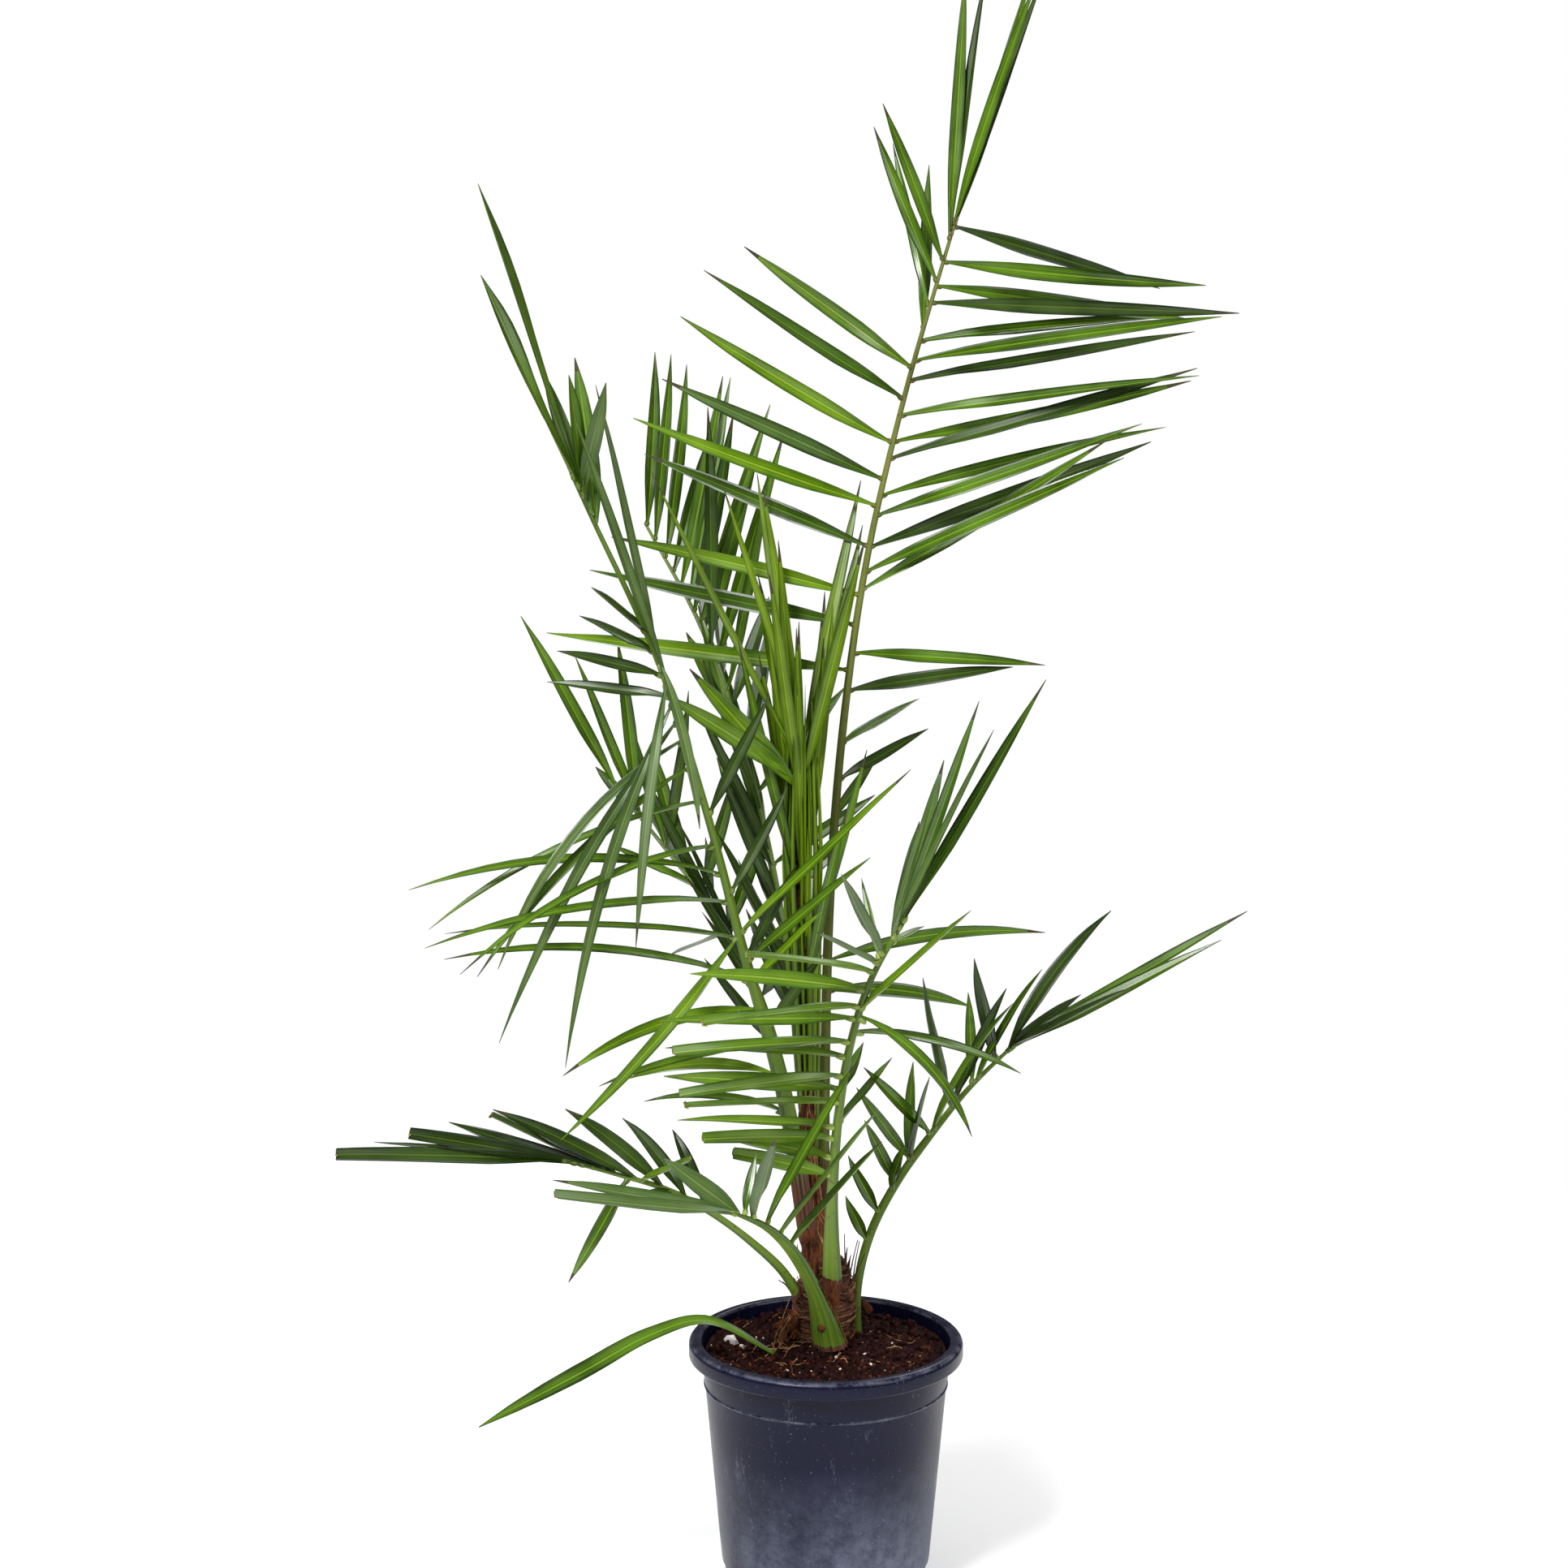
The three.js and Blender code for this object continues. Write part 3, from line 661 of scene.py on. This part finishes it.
def leaflet(bm, frond, route, row, shape, chance, needle=0.0):
    """One leaflet: folded along its midrib, narrow at its foot, and drawn out to its tip."""
    vary = chance.uniform
    share, heading, rise, length, bow, half = row
    bow /= 100
    half *= MM * vary(0.92, 1.08)
    length *= MM
    base = route.at(share / 100)
    chord = direction(heading, rise) * length
    over = direction(heading, rise + 90) * length * bow * 4
    facing = facing_of(frond)
    roll = radians(LEAFLET["roll"] * vary(-1, 1))
    twist = radians(LEAFLET["twist"] * vary(-1, 1))
    sway = LEAFLET["sway"] * vary(-1, 1) * length
    outline = OUTLINES[shape]
    begin = value_at(frond["half"], share / 100) * MM * 0.7 / length

    def frame_at(part):
        t = mix(begin, 1, part)
        along = (chord + over * (1 - 2 * t)).normalized()
        lift, side = square_to(along, facing)
        turn = Quaternion(along, roll + twist * t)
        lift, side = turn @ lift, turn @ side
        spot = base + chord * t + over * t * (1 - t) + side * sway * 4 * t * (1 - t)
        return spot, lift, side

    def section(part, across, lift):
        reach = half * value_at(outline, part)
        fold = mix(LEAFLET["fold_at_foot"], LEAFLET["fold"], part * 3.2)
        fold = radians(fold + mix(0, LEAFLET["fold_at_tip"], part * 2 - 1))
        wing = abs(across)
        skin = (LEAFLET["thickness"] + LEAFLET["keel"] * (1 - wing) * mix(1.4, 0.3, part)) * MM
        swell = 0.07 * reach * sin(pi * wing)
        x = across * reach * cos(fold)
        return x, wing * reach * sin(fold) + swell + lift * skin * min(1, reach / (1.2 * MM))

    faces = sweep(bm, LEAFLET["sides"], LEAFLET["rings"], frame_at, section, length, two_faced=True)
    if chance.random() < needle:
        tip = frame_at(1 - 1.4 / LEAFLET["rings"])[0]
        for face in faces:
            if (face.calc_center_median() - base).length > (tip - base).length:
                face.material_index = 2


def knuckle(bm, frond, route, row, size):
    """The swollen pale foot that a leaflet turns on."""
    share, heading, rise = row[:3]
    base = route.at(share / 100)
    aim = direction(heading, rise)
    reach = value_at(frond["half"], share / 100) * MM
    run = reach * 0.6 + 5.5 * MM * size
    lift, side = square_to(aim, facing_of(frond))
    girth = [1.9, 2.5, 2.4, 1.7, 0.9]

    def frame_at(part):
        return base + aim * (reach * 0.35 + (run - reach * 0.35) * part), lift, side

    def section(part, across, up):
        wide = value_at(girth, part) * MM * size
        return across * wide, up * wide * 0.75

    sweep(bm, 6, 4, frame_at, section, run)


def cut_end(bm, frond, route, row, chance):
    """A dry rim on the end of a trimmed leaflet."""
    share, heading, rise, length, _, half = row
    half *= MM
    length *= MM
    aim = direction(heading, rise)
    spot = route.at(share / 100) + aim * length
    lift, side = square_to(aim, facing_of(frond))
    reach = half * OUTLINES["cut"][-1] * 0.8

    def frame_at(part):
        return spot + aim * (part * 1.6 - 1.1) * MM, lift, side

    def section(part, across, up):
        return across * reach * mix(1.0, 0.75, part), abs(across) * reach * 0.5 + up * 0.4 * MM

    sweep(bm, 8, 3, frame_at, section, 0.003)


def frond(name, spec):
    """A whole frond: its rib, its leaflets by kind, and their swollen feet."""
    route = Route(grown(**spec["rib"]))
    blades = [f"{name}_{part}" for part in BLADES[name]]
    bm = bmesh.new()
    limb(bm, route, spec["half"], spec["face"], first=spec.get("starts", 0.0), last=spec.get("ends", 1.0))
    piece(f"{name}_stalk", bm, [STALK_SKINS[spec["stalk"]]], [f"{name}_rib"])
    if "held" in spec:
        sheath_foot(name, spec, route)
    chance = random.Random(name)
    foot_skin, foot_size = spec["feet"]
    feet = bmesh.new()
    ends = bmesh.new()
    for kind, rows in leaflet_rows(spec, chance).items():
        skin, _, shape = kind.partition("_")
        bm = bmesh.new()
        for row in rows:
            leaflet(bm, spec, route, row, shape, chance, 0.0 if shape else spec.get("needles", 0.45))
            knuckle(feet, spec, route, row, foot_size)
            if shape == "cut":
                cut_end(ends, spec, route, row, chance)
        piece(f"{name}_leaflets_{kind}", bm, [*LEAF_SKINS[skin], NEEDLE_SKIN], blades, 30)
    piece(f"{name}_leaf_feet", feet, [FOOT_SKINS[foot_skin]], blades, 50)
    if ends.verts:
        piece(f"{name}_cut_ends", ends, [CUT_SKIN], blades, 50)
    else:
        ends.free()


def sheath_foot(name, spec, route):
    """The dry sheath that holds the foot of a stalk to the stem, with its torn edge."""
    begin = spec.get("starts", 0.0)
    *spot, wide = spec["held"]
    top = value_at(spec["half"], begin)
    held = Vector(spot)
    foot = route.at(begin) / MM
    above = route.at(begin + 0.012) / MM
    bm = bmesh.new()
    limb(bm, Route([held, held.lerp(foot, 0.55), foot, above]), [wide, wide * 0.9, top * 1.02, top * 0.8],
         spec["face"], 20, 24, top=0.7)
    for vert in bm.verts:
        vert.co += wandering(vert.co, 110, 1.3 * MM)
    piece(f"{name}_sheath", bm, [SHEATH_SKIN], ["stem_base", "sheath_column"], 60)


def stalk_scar():
    """The small dry scar at the foot of the broad front stalk, and its two dry margins."""
    spec = FRONDS["low_front"]
    route = Route(grown(**spec["rib"]))
    bm = bmesh.new()
    lift, side = square_to(route.along(0.09), Vector((0, -1, 0.2)))

    def frame_at(part):
        return route.at(0.125 + 0.03 * part) + lift * 8.6 * MM + side * 3.5 * MM, lift, side

    def section(part, across, up):
        reach = sin(pi * mix(0.12, 0.88, part)) * MM
        return across * reach * 3.0, up * reach * 1.6

    sweep(bm, 12, 8, frame_at, section, 0.005)
    piece("low_front_scar", bm, [SHEATH_SKIN], ["low_front_rib"], 60)

    bm = bmesh.new()
    for edge in (-1, 1):
        points = []
        for step in range(9):
            share = 0.03 + 0.04 * step
            _, across = square_to(route.along(share), facing_of(spec))
            points.append(route.at(share) + across * edge * (value_at(spec["half"], share) + 0.1) * MM)
        strand(bm, points, 0.7)
    piece("low_front_margins", bm, [SHEATH_SKIN], ["low_front_rib"], 60)


def sheaf_blade(bm, spec, route, angle, first, last, half, depth, lean):
    """One narrow folded blade of the sheaf, from one share of its route to another."""
    facing = facing_of(spec)
    outline = [0.5, 0.8, 0.9, 1.0, 1.0, 0.9, 0.75, 0.45, 0.05]

    def frame_at(part):
        place = mix(first, last, part)
        along = route.along(place)
        lift, side = square_to(along, facing)
        reach = value_at(spec["half"], place) * MM * (depth + lean * part)
        out = side * cos(angle) + lift * sin(angle) * 0.7
        lift = (side * cos(angle) + lift * sin(angle)).normalized()
        return route.at(place) + out * reach, lift, lift.cross(along)

    def section(part, across, lift):
        reach = half * value_at(outline, part)
        return across * reach * 0.7, (1 - abs(across)) * reach * 0.9 + lift * 0.3 * MM

    sweep(bm, 8, 14, frame_at, section, route.length * (last - first), two_faced=True)


def spear_sheaf(spec):
    """The unopened leaves in the middle: narrow folded blades that stand together in one sheaf."""
    route = Route(grown(**spec["rib"]))
    chance = random.Random("sheaf")
    vary = chance.uniform
    bm = bmesh.new()
    # A dark core of stem fibre inside the sheaf stands in for the shade between its blades, so the gaps
    # show dark instead of the surround.
    limb(bm, route, [h * 0.42 for h in spec["half"]], spec["face"], 10, 24, last=0.7)
    piece("spear_shade_core", bm, [STEM_SKIN], ["spear_bundle"], 40)
    for kind, count, depths, ends in (
        ("spear", 19, (0.55, 0.9), (0.62, 1.0)), ("fresh", 10, (0.45, 0.9), (0.5, 0.95)),
        ("dark", 9, (0.45, 0.75), (0.4, 0.9)), ("blue", 3, (0.6, 0.9), (0.5, 0.8)),
    ):
        bm = bmesh.new()
        for _ in range(count):
            first = vary(0.0, 0.3) if chance.random() < 0.5 else vary(0.3, 0.6)
            sheaf_blade(
                bm, spec, route,
                angle=vary(0, 2 * pi),
                first=first,
                last=max(first + 0.2, vary(*ends)),
                half=vary(1.2, 3.2) * MM,
                depth=vary(*depths),
                lean=vary(0.0, 0.3),
            )
        piece(f"spear_sheaf_{kind}", bm, LEAF_SKINS[kind], ["spear_bundle"], 30)
    blades = [f"spears_{part}" for part in BLADES["spears"]]
    for kind, rows in leaflet_rows(spec, chance).items():
        bm = bmesh.new()
        for row in rows:
            leaflet(bm, spec, route, row, "", chance, 0.8)
        piece(f"spear_leaflets_{kind}", bm, [*LEAF_SKINS[kind], NEEDLE_SKIN], blades, 30)


def seedling_leaf():
    """The long strap of the seedling's first leaf, from the soil over the rim."""
    route = Route(STRAP["route"])
    face = Vector((-0.25, -0.45, 0.86)).normalized()
    bm = bmesh.new()

    def frame_at(share):
        return route.frame(share, face)

    def section(share, across, lift):
        reach = value_at(STRAP["half"], share) * MM
        fold = radians(mix(50, 14, share * 3))
        wing = abs(across)
        skin = (0.25 + 0.5 * (1 - wing) * (1 - share)) * MM
        return across * reach * cos(fold), wing * reach * sin(fold) + lift * skin

    sweep(bm, 10, 40, frame_at, section, route.length, two_faced=True)
    piece("seedling_strap", bm, LEAF_SKINS["fresh"], ["seedling_leaf"], 30)


# ---------------- stem

def wandering(spot, scale, reach):
    """A smooth push in a random direction that depends on the place alone."""
    return noise.noise_vector(spot * scale) * reach


def strand(bm, points, girth):
    """A thin fibre through points in metres."""
    route = Route([point / MM for point in points])
    rings = max(4, len(points) * 3)

    def frame_at(share):
        return route.frame(share, Vector((0.3, -0.5, 0.8)))

    def section(share, across, lift):
        reach = girth * MM * mix(1, 0.45, abs(share * 2 - 1) ** 3)
        return across * reach, lift * reach

    sweep(bm, 5, rings, frame_at, section, route.length)


def stem():
    """The short fibrous stem base and the column of brown leaf sheaths above it."""
    route = Route(STEM["route"])
    bm = bmesh.new()
    limb(bm, route, STEM["half"], (0, -1, 0.2), 64, 56, flat=1, top=1)
    for vert in bm.verts:
        axis = Vector((-0.001, 0.002, vert.co.z))
        out = (vert.co - axis).normalized()
        rough = noise.noise(Vector((vert.co.x * 70, vert.co.y * 70, vert.co.z * 260)))
        lump = noise.noise(vert.co * 75)
        vert.co += out * (rough * 1.8 + lump * 2.6 - 1.0) * MM
    piece("stem_matting", bm, [STEM_SKIN], ["stem_base"], 60)

    route = Route(SHEATH["route"])
    bm = bmesh.new()
    limb(bm, route, SHEATH["half"], (0, -1, 0.2), 28, 60, flat=1, top=1)
    for vert in bm.verts:
        vert.co += wandering(vert.co, 90, 1.6 * MM)
    piece("sheath_matting", bm, [SHEATH_SKIN], ["sheath_column"], 60)


def lay_thread(bm, route, half, chance, rise, wind, steps, snug, girth):
    """A thread on a stem. `rise` and `wind` are where it starts along and round it, and how far it goes."""
    points = []
    for step in range(steps + 1):
        spot = rise[0] + rise[1] * step / steps
        reach = (value_at(half, spot) + chance.uniform(snug, 1.6)) * MM
        points.append(route.at(spot) + around(wind[0] + wind[1] * step / steps) * reach)
    strand(bm, points, chance.uniform(*girth))


def stem_threads():
    """Loose dry threads wound round the stem base and hanging on the sheaths."""
    chance = random.Random("threads")
    vary = chance.uniform
    base = Route(STEM["route"])
    wound = bmesh.new()
    for _ in range(COUNTS["wound_threads"]):
        place = vary(0.02, 0.98)
        turn = vary(0, 2 * pi)
        span = vary(0.5, 1.6)
        slope = vary(-0.12, 0.12)
        lay_thread(wound, base, STEM["half"], chance, (place, slope), (turn, span), 5, -0.2, (0.2, 0.5))
    piece("stem_wound_threads", wound, [STEM_THREAD_SKIN], ["stem_base"], 60)

    column = Route(SHEATH["route"])
    hung = bmesh.new()
    for _ in range(COUNTS["hung_threads"]):
        place = vary(0.0, 0.75) ** 1.3
        run = vary(0.08, 0.25)
        turn = vary(0, 2 * pi)
        sway = vary(-0.9, 0.9)
        lay_thread(hung, column, SHEATH["half"], chance, (place, run), (turn, sway), 4, -0.3, (0.18, 0.4))
    piece("sheath_hung_threads", hung, [THREAD_SKIN], ["sheath_column"], 60)


def flake(bm, foot, aim, length, half, curl, facing):
    """One torn flake of dry sheath: a thin blade that curls away from the stem, sized in millimetres."""
    outward = Vector(facing).normalized()

    def frame_at(part):
        bend = radians(curl) * part
        along = (aim * cos(bend) + outward * sin(bend)).normalized()
        spot = foot + (aim * part + outward * sin(bend) * part * 0.5) * length * MM
        return (spot, *square_to(along, outward))

    def section(part, across, lift):
        reach = half * MM * value_at([0.9, 1.0, 0.8, 0.55, 0.25, 0.04], part)
        return across * reach, abs(across) * reach * -0.3 + lift * 0.35 * MM

    sweep(bm, 8, 10, frame_at, section, length * MM)


def stem_flakes():
    """Torn sheath flakes round the stem, a loose flap at its left, and thin dark spines at its right."""
    chance = random.Random("flakes")
    vary = chance.uniform
    stem_route = Route(STEM["route"])
    bm = bmesh.new()
    for index in range(COUNTS["stem_flakes"]):
        turn = 2 * pi * (index + vary(-0.3, 0.3)) / COUNTS["stem_flakes"]
        out = around(turn)
        share = chance.choice((0.1, 0.35, 0.6, 0.85)) + vary(-0.06, 0.06)
        foot = stem_route.at(share) + out * (value_at(STEM["half"], share) - 0.6) * MM
        aim = (UP + out * vary(-0.25, 0.1)).normalized()
        flake(bm, foot, aim, vary(8, 19), vary(2.2, 5.0), vary(4, 34), out)
    for spot, aim, length, half, curl, facing in (
        ((-20, -9, 207), (-0.5, -0.1, 0.85), 15, 4, 50, (-1, -0.4, 0)),
        ((-21, -6, 200), (-0.2, 0, 1), 17, 4.5, 40, (-1, -0.2, 0)),
    ):
        flake(bm, Vector(spot) * MM, Vector(aim).normalized(), length, half, curl, facing)
    piece("stem_flakes", bm, [STEM_SKIN], ["stem_base"], 60)

    bm = bmesh.new()
    for x, y, z, lean, length in ((17, -4, 222, 0.15, 24), (20, -1, 216, 0.3, 20), (19, 6, 214, 0.1, 28),
                                  (14, 9, 224, -0.1, 22), (-17, 5, 220, -0.2, 20)):
        flake(bm, Vector((x, y, z)) * MM, Vector((lean, 0, 1)).normalized(), length, 1.1, 6, (1, -0.3, 0))
    piece("stem_spines", bm, [NEEDLE_SKIN], ["stem_base"], 60)

    column = Route(SHEATH["route"])
    bm = bmesh.new()
    for _ in range(COUNTS["sheath_flakes"]):
        turn = vary(0, 2 * pi)
        out = around(turn)
        share = vary(0.0, 0.62)
        foot = column.at(share) + out * (value_at(SHEATH["half"], share) - 0.4) * MM
        aim = (UP + Vector((-0.12, 0, 0)) + out * vary(-0.06, 0.06)).normalized()
        flake(bm, foot, aim, vary(18, 42), vary(1.4, 3.4), vary(0, 6), out)
    piece("sheath_flakes", bm, [SHEATH_SKIN], ["sheath_column"], 60)


# ---------------- pot and soil

def pot_outer(height):
    share = (height - POT["foot_height"]) / (POT["height"] - POT["lip"] - POT["foot_height"])
    return POT["step"] + (POT["body"] - POT["step"]) * share


def arc(centre, radius, first, last, steps):
    """Points of a round corner, in millimetres, between two angles."""
    for step in range(steps + 1):
        angle = radians(first + (last - first) * step / steps)
        yield (centre[0] + radius * cos(angle), centre[1] + radius * sin(angle))


def spun(profile, steps, join):
    """A closed body turned about Z from its profile, with corners nearer than `join` made one."""
    bm = bmesh.new()
    verts = [bm.verts.new((x * MM, 0, z * MM)) for x, z in profile]
    edges = [bm.edges.new(pair) for pair in zip(verts, verts[1:])]
    bmesh.ops.spin(bm, geom=verts + edges, axis=UP, cent=(0, 0, 0), angle=2 * pi,
                   steps=steps, use_merge=True)
    bmesh.ops.remove_doubles(bm, verts=bm.verts, dist=join * MM)
    bmesh.ops.recalc_face_normals(bm, faces=bm.faces)
    for face in bm.faces:
        face.smooth = True
    return bm


def pot():
    """The thin moulded pot, turned about its axis: foot, wall, collar line and rolled lip."""
    ring = POT["height"] - POT["collar"]
    under = POT["height"] - POT["lip"]
    top = POT["height"]
    profile = [(0, 1.2), (POT["foot"] - 8, 1.2), (POT["foot"] - 6, 0)]
    profile += arc((POT["foot"] - 1.5, 1.5), 1.5, -90, 0, 4)
    profile += [(POT["foot"] + 0.2, POT["foot_height"] - 4)]
    profile += arc((POT["step"] - 3, POT["foot_height"] + 1), 3, -75, -4, 5)
    profile += [(pot_outer(height), height) for height in range(22, int(ring) - 1, 15)]
    profile += [(pot_outer(ring) - 0.1, ring - 2), (pot_outer(ring) + 0.1, ring - 1)]
    profile += arc((pot_outer(ring) + 0.1, ring), 0.9, -80, 80, 5)
    profile += [(pot_outer(ring) + 0.5, ring + 2.2), (pot_outer(ring + 12) + 0.4, ring + 12)]
    profile += [(POT["body"] + 0.2, under - 1)]
    profile += [(POT["rim"] - 5, under + 0.2)]
    profile += arc((POT["rim"] - 2, under + 2.4), 2, -80, 0, 4)
    profile += arc((POT["rim"] - 4.2, top - 4.2), 4.2, 0, 90, 7)
    profile += arc((POT["mouth"] + 2.6, top - 2.6), 2.6, 90, 180, 5)
    profile += [(POT["mouth"] - 0.6, under), (pot_outer(ring) - POT["wall"], ring)]
    profile += [(POT["step"] - POT["wall"], POT["foot_height"] + 4)]
    profile += arc((POT["step"] - POT["wall"] - 4, POT["foot_height"] + 2), 3, 0, -90, 3)
    profile += [(0, POT["foot_height"] - 1)]
    bm = spun(profile, 144, 0.02)
    piece("nursery_pot", bm, [pot_finish()], ["pot"], 42)


def soil_height(x, y):
    """The mound of soil, in millimetres, with its clods."""
    reach = hypot(x, y)
    fall = 0.5 - 0.5 * cos(pi * min(1, reach / SOIL["mound"]))
    clods = noise.noise(Vector((x, y, 3)) * 0.05) * 3.2 + noise.noise(Vector((x, y, 9)) * 0.16) * 2.0
    return mix(SOIL["crown"], SOIL["edge"], fall) - 0.6 + clods * min(1, (88 - reach) / 10)


def soil():
    """The potting soil, its crumbs and the white perlite grains."""
    profile = [(0.0, 19.5), (69.0, 19.5), (SOIL["radius"] - 0.6, 155)]
    profile += [(SOIL["radius"] - step, SOIL["edge"]) for step in range(0, int(SOIL["radius"]), 2)]
    profile += [(0.0, SOIL["crown"])]
    bm = spun(profile, 120, 0.05)
    for vert in bm.verts:
        if vert.co.z > 0.16:
            vert.co.z = soil_height(vert.co.x / MM, vert.co.y / MM) * MM
    piece("soil_bed", bm, [PEAT_SKIN], ["soil"], 70)

    chance = random.Random("crumbs")
    for name, skin, count, sizes in (
        ("soil_crumbs_dark", PEAT_SKIN, 1900, (0.8, 3.2)),
        ("soil_crumbs_brown", CRUMB_SKIN, 900, (0.5, 2.1)),
        ("soil_perlite", PERLITE_SKIN, 120, (0.4, 1.5)),
    ):
        bm = bmesh.new()
        for _ in range(count):
            reach = 81 * sqrt(chance.random())
            turn = chance.uniform(0, 2 * pi)
            size = mix(sizes[0], sizes[1], chance.random() ** 2)
            grit(bm, reach * cos(turn), reach * sin(turn), size, chance)
        if skin is PERLITE_SKIN:
            grit(bm, -66, 7, 4.6, chance)
            grit(bm, -58, 3, 2.4, chance)
        piece(name, bm, [skin], ["soil"], 40)


def grit(bm, x, y, size, chance):
    """One uneven grain lying on the soil, sized in millimetres."""
    vary = chance.uniform
    spot = Vector((x, y, soil_height(x, y) + size * 0.35)) * MM
    made = bmesh.ops.create_icosphere(bm, subdivisions=1, radius=size * MM)
    stretch = Vector((vary(0.7, 1.3), vary(0.7, 1.3), vary(0.5, 0.9)))
    axis = [vary(-1, 1) for _ in range(3)]
    turn = Quaternion(axis, vary(0, 3))
    for vert in made["verts"]:
        push = Vector([vary(0.78, 1.22) for _ in range(3)])
        vert.co = spot + turn @ (vert.co * stretch * push)


def soil_roots():
    """Pale root fibres that loop out of the soil, the root knot beside the stem, and bits of bark."""
    chance = random.Random("roots")
    vary = chance.uniform
    bm = bmesh.new()
    for index in range(COUNTS["roots"]):
        near = index < COUNTS["roots_by_stem"]
        x = vary(-44, -20) if near else vary(-70, 70)
        y = vary(-34, -6) if near else vary(-72, 60)
        if hypot(x, y) < 24:
            x -= 30
        heading = vary(0, 2 * pi)
        curl = vary(-0.5, 0.5)
        run = vary(1.2, 4.5)
        height = vary(0.4, 3.6 if near else 1.6)
        points = []
        for step in range(8):
            rise = height * sin(pi * step / 7) - 0.4
            points.append(Vector((x, y, soil_height(x, y) + 1.2 + rise)) * MM)
            heading += curl + vary(-0.25, 0.25)
            x += run * cos(heading)
            y += run * sin(heading)
        strand(bm, points, vary(0.2, 0.42))
    for _ in range(COUNTS["climbing_roots"]):
        foot = Vector((vary(-38, -25), vary(-20, -6), 0))
        foot.z = soil_height(foot.x, foot.y)
        head = Vector((vary(-27, -21), vary(-12, 0), vary(188, 205)))
        middle = foot.lerp(head, 0.5) + Vector([vary(-3.5, 3.5) for _ in range(3)])
        low = foot.lerp(head, 0.25) + Vector([vary(-2.5, 2.5) for _ in range(3)])
        strand(bm, [point * MM for point in (foot, low, middle, head)], vary(0.2, 0.5))
    piece("soil_roots", bm, [THREAD_SKIN], ["soil"], 60)

    bm = bmesh.new()
    for _ in range(COUNTS["knot_loops"]):
        turn = vary(0, 2 * pi)
        spot = Vector((-28 + 5 * cos(turn), -13 + 4 * sin(turn), 178 + vary(0, 15)))
        points = []
        for step in range(6):
            angle = turn + step * 0.45
            points.append((spot + Vector((4 * cos(angle), 4 * sin(angle), step * 1.2))) * MM)
        strand(bm, points, vary(0.3, 0.8))
    piece("soil_root_knot", bm, [SHEATH_SKIN], ["soil"], 60)

    bm = bmesh.new()
    chip = Vector((32, 56, SOIL["crown"] - 6)) * MM
    flake(bm, chip, Vector((-0.5, 0.1, 0.9)).normalized(), 16, 3.5, 20, (0, -1, 0))
    for _ in range(COUNTS["bark"]):
        x, y = vary(-62, 62), vary(-60, 45)
        turn = vary(0, pi)
        aim = Vector((cos(turn), sin(turn), vary(0.0, 0.25))).normalized()
        foot = Vector((x, y, soil_height(x, y) + 1.4)) * MM
        flake(bm, foot, aim, vary(4, 11), vary(0.8, 2.2), 10, (0, 0, 1))
    piece("soil_bark", bm, [SHEATH_SKIN], ["soil"], 60)


# ---------------- room

def camera():
    """A level-headed view from the front, a little above, tilted down."""
    lens = bpy.data.cameras.new("view")
    lens.sensor_width = 36
    lens.lens = VIEW["lens"]
    eye = bpy.data.objects.new("view", lens)
    eye.location = VIEW["eye"]
    eye.rotation_euler = (radians(90 - VIEW["down"]), 0, 0)
    bpy.context.scene.collection.objects.link(eye)
    bpy.context.scene.camera = eye


def lamp(name, spot, target, size, power):
    light = bpy.data.lights.new(name, "AREA")
    light.shape = "DISK"
    light.size = size
    light.energy = power
    thing = bpy.data.objects.new(name, light)
    thing.location = spot
    thing.rotation_euler = (Vector(target) - Vector(spot)).to_track_quat("-Z", "Y").to_euler()
    bpy.context.scene.collection.objects.link(thing)


def room():
    """A plain pale floor, a white surround and soft studio lamps."""
    bm = bmesh.new()
    bmesh.ops.create_circle(bm, cap_ends=True, segments=128, radius=1.2)
    mesh = bpy.data.meshes.new("floor")
    bm.to_mesh(mesh)
    bm.free()
    material, tree, shader = start("floor_paper", 0.9, Emission_Color=(1, 1, 1, 1), Emission_Strength=0.1)
    solid = in_solid(tree)
    tone = tinted(tree, grain(tree, solid, 3), shade(250, 250, 250), shade(254, 254, 254))
    tree.links.new(tone, shader.inputs["Base Color"])
    mesh.materials.append(material)
    floor = bpy.data.objects.new("floor", mesh)
    bpy.context.scene.collection.objects.link(floor)

    world = bpy.data.worlds.new("surround")
    bpy.context.scene.world = world
    world.use_nodes = True
    tree = world.node_tree
    toward = node(tree, "ShaderNodeTexCoord").outputs["Generated"]
    upward = node(tree, "ShaderNodeSeparateXYZ", {0: toward}).outputs[2]
    glow = ramped(tree, upward, -0.4, 0.7, 0.16, 0.6)
    path = node(tree, "ShaderNodeLightPath")
    mirrored = ramped(tree, path.outputs["Is Glossy Ray"], 0.0, 1.0, 1.0, 0.3)
    lit = sums(tree, "MULTIPLY", glow, mirrored)
    to_camera = path.outputs["Is Camera Ray"]
    seen = node(tree, "ShaderNodeMix", {0: to_camera, 2: lit, 3: 1.0}, data_type="FLOAT")
    tree.links.new(seen.outputs[0], tree.nodes["Background"].inputs["Strength"])
    tree.nodes["Background"].inputs["Color"].default_value = (1, 1, 1, 1)

    lamp("key", (-1.2, -1.8, 2.4), (0, 0, 0.5), 0.8, 80)
    lamp("fill", (1.8, -1.3, 1.4), (0, 0, 0.5), 1.2, 20)
    lamp("back", (0.7, 1.8, 2.2), (0, 0, 0.6), 1.2, 18)


bpy.context.scene.view_settings.view_transform = "Standard"
camera()
pot()
soil()
soil_roots()
stem()
stem_threads()
stem_flakes()
for frond_name, frond_spec in FRONDS.items():
    frond(frond_name, frond_spec)
stalk_scar()
spear_sheaf(SPEARS)
seedling_leaf()
room()
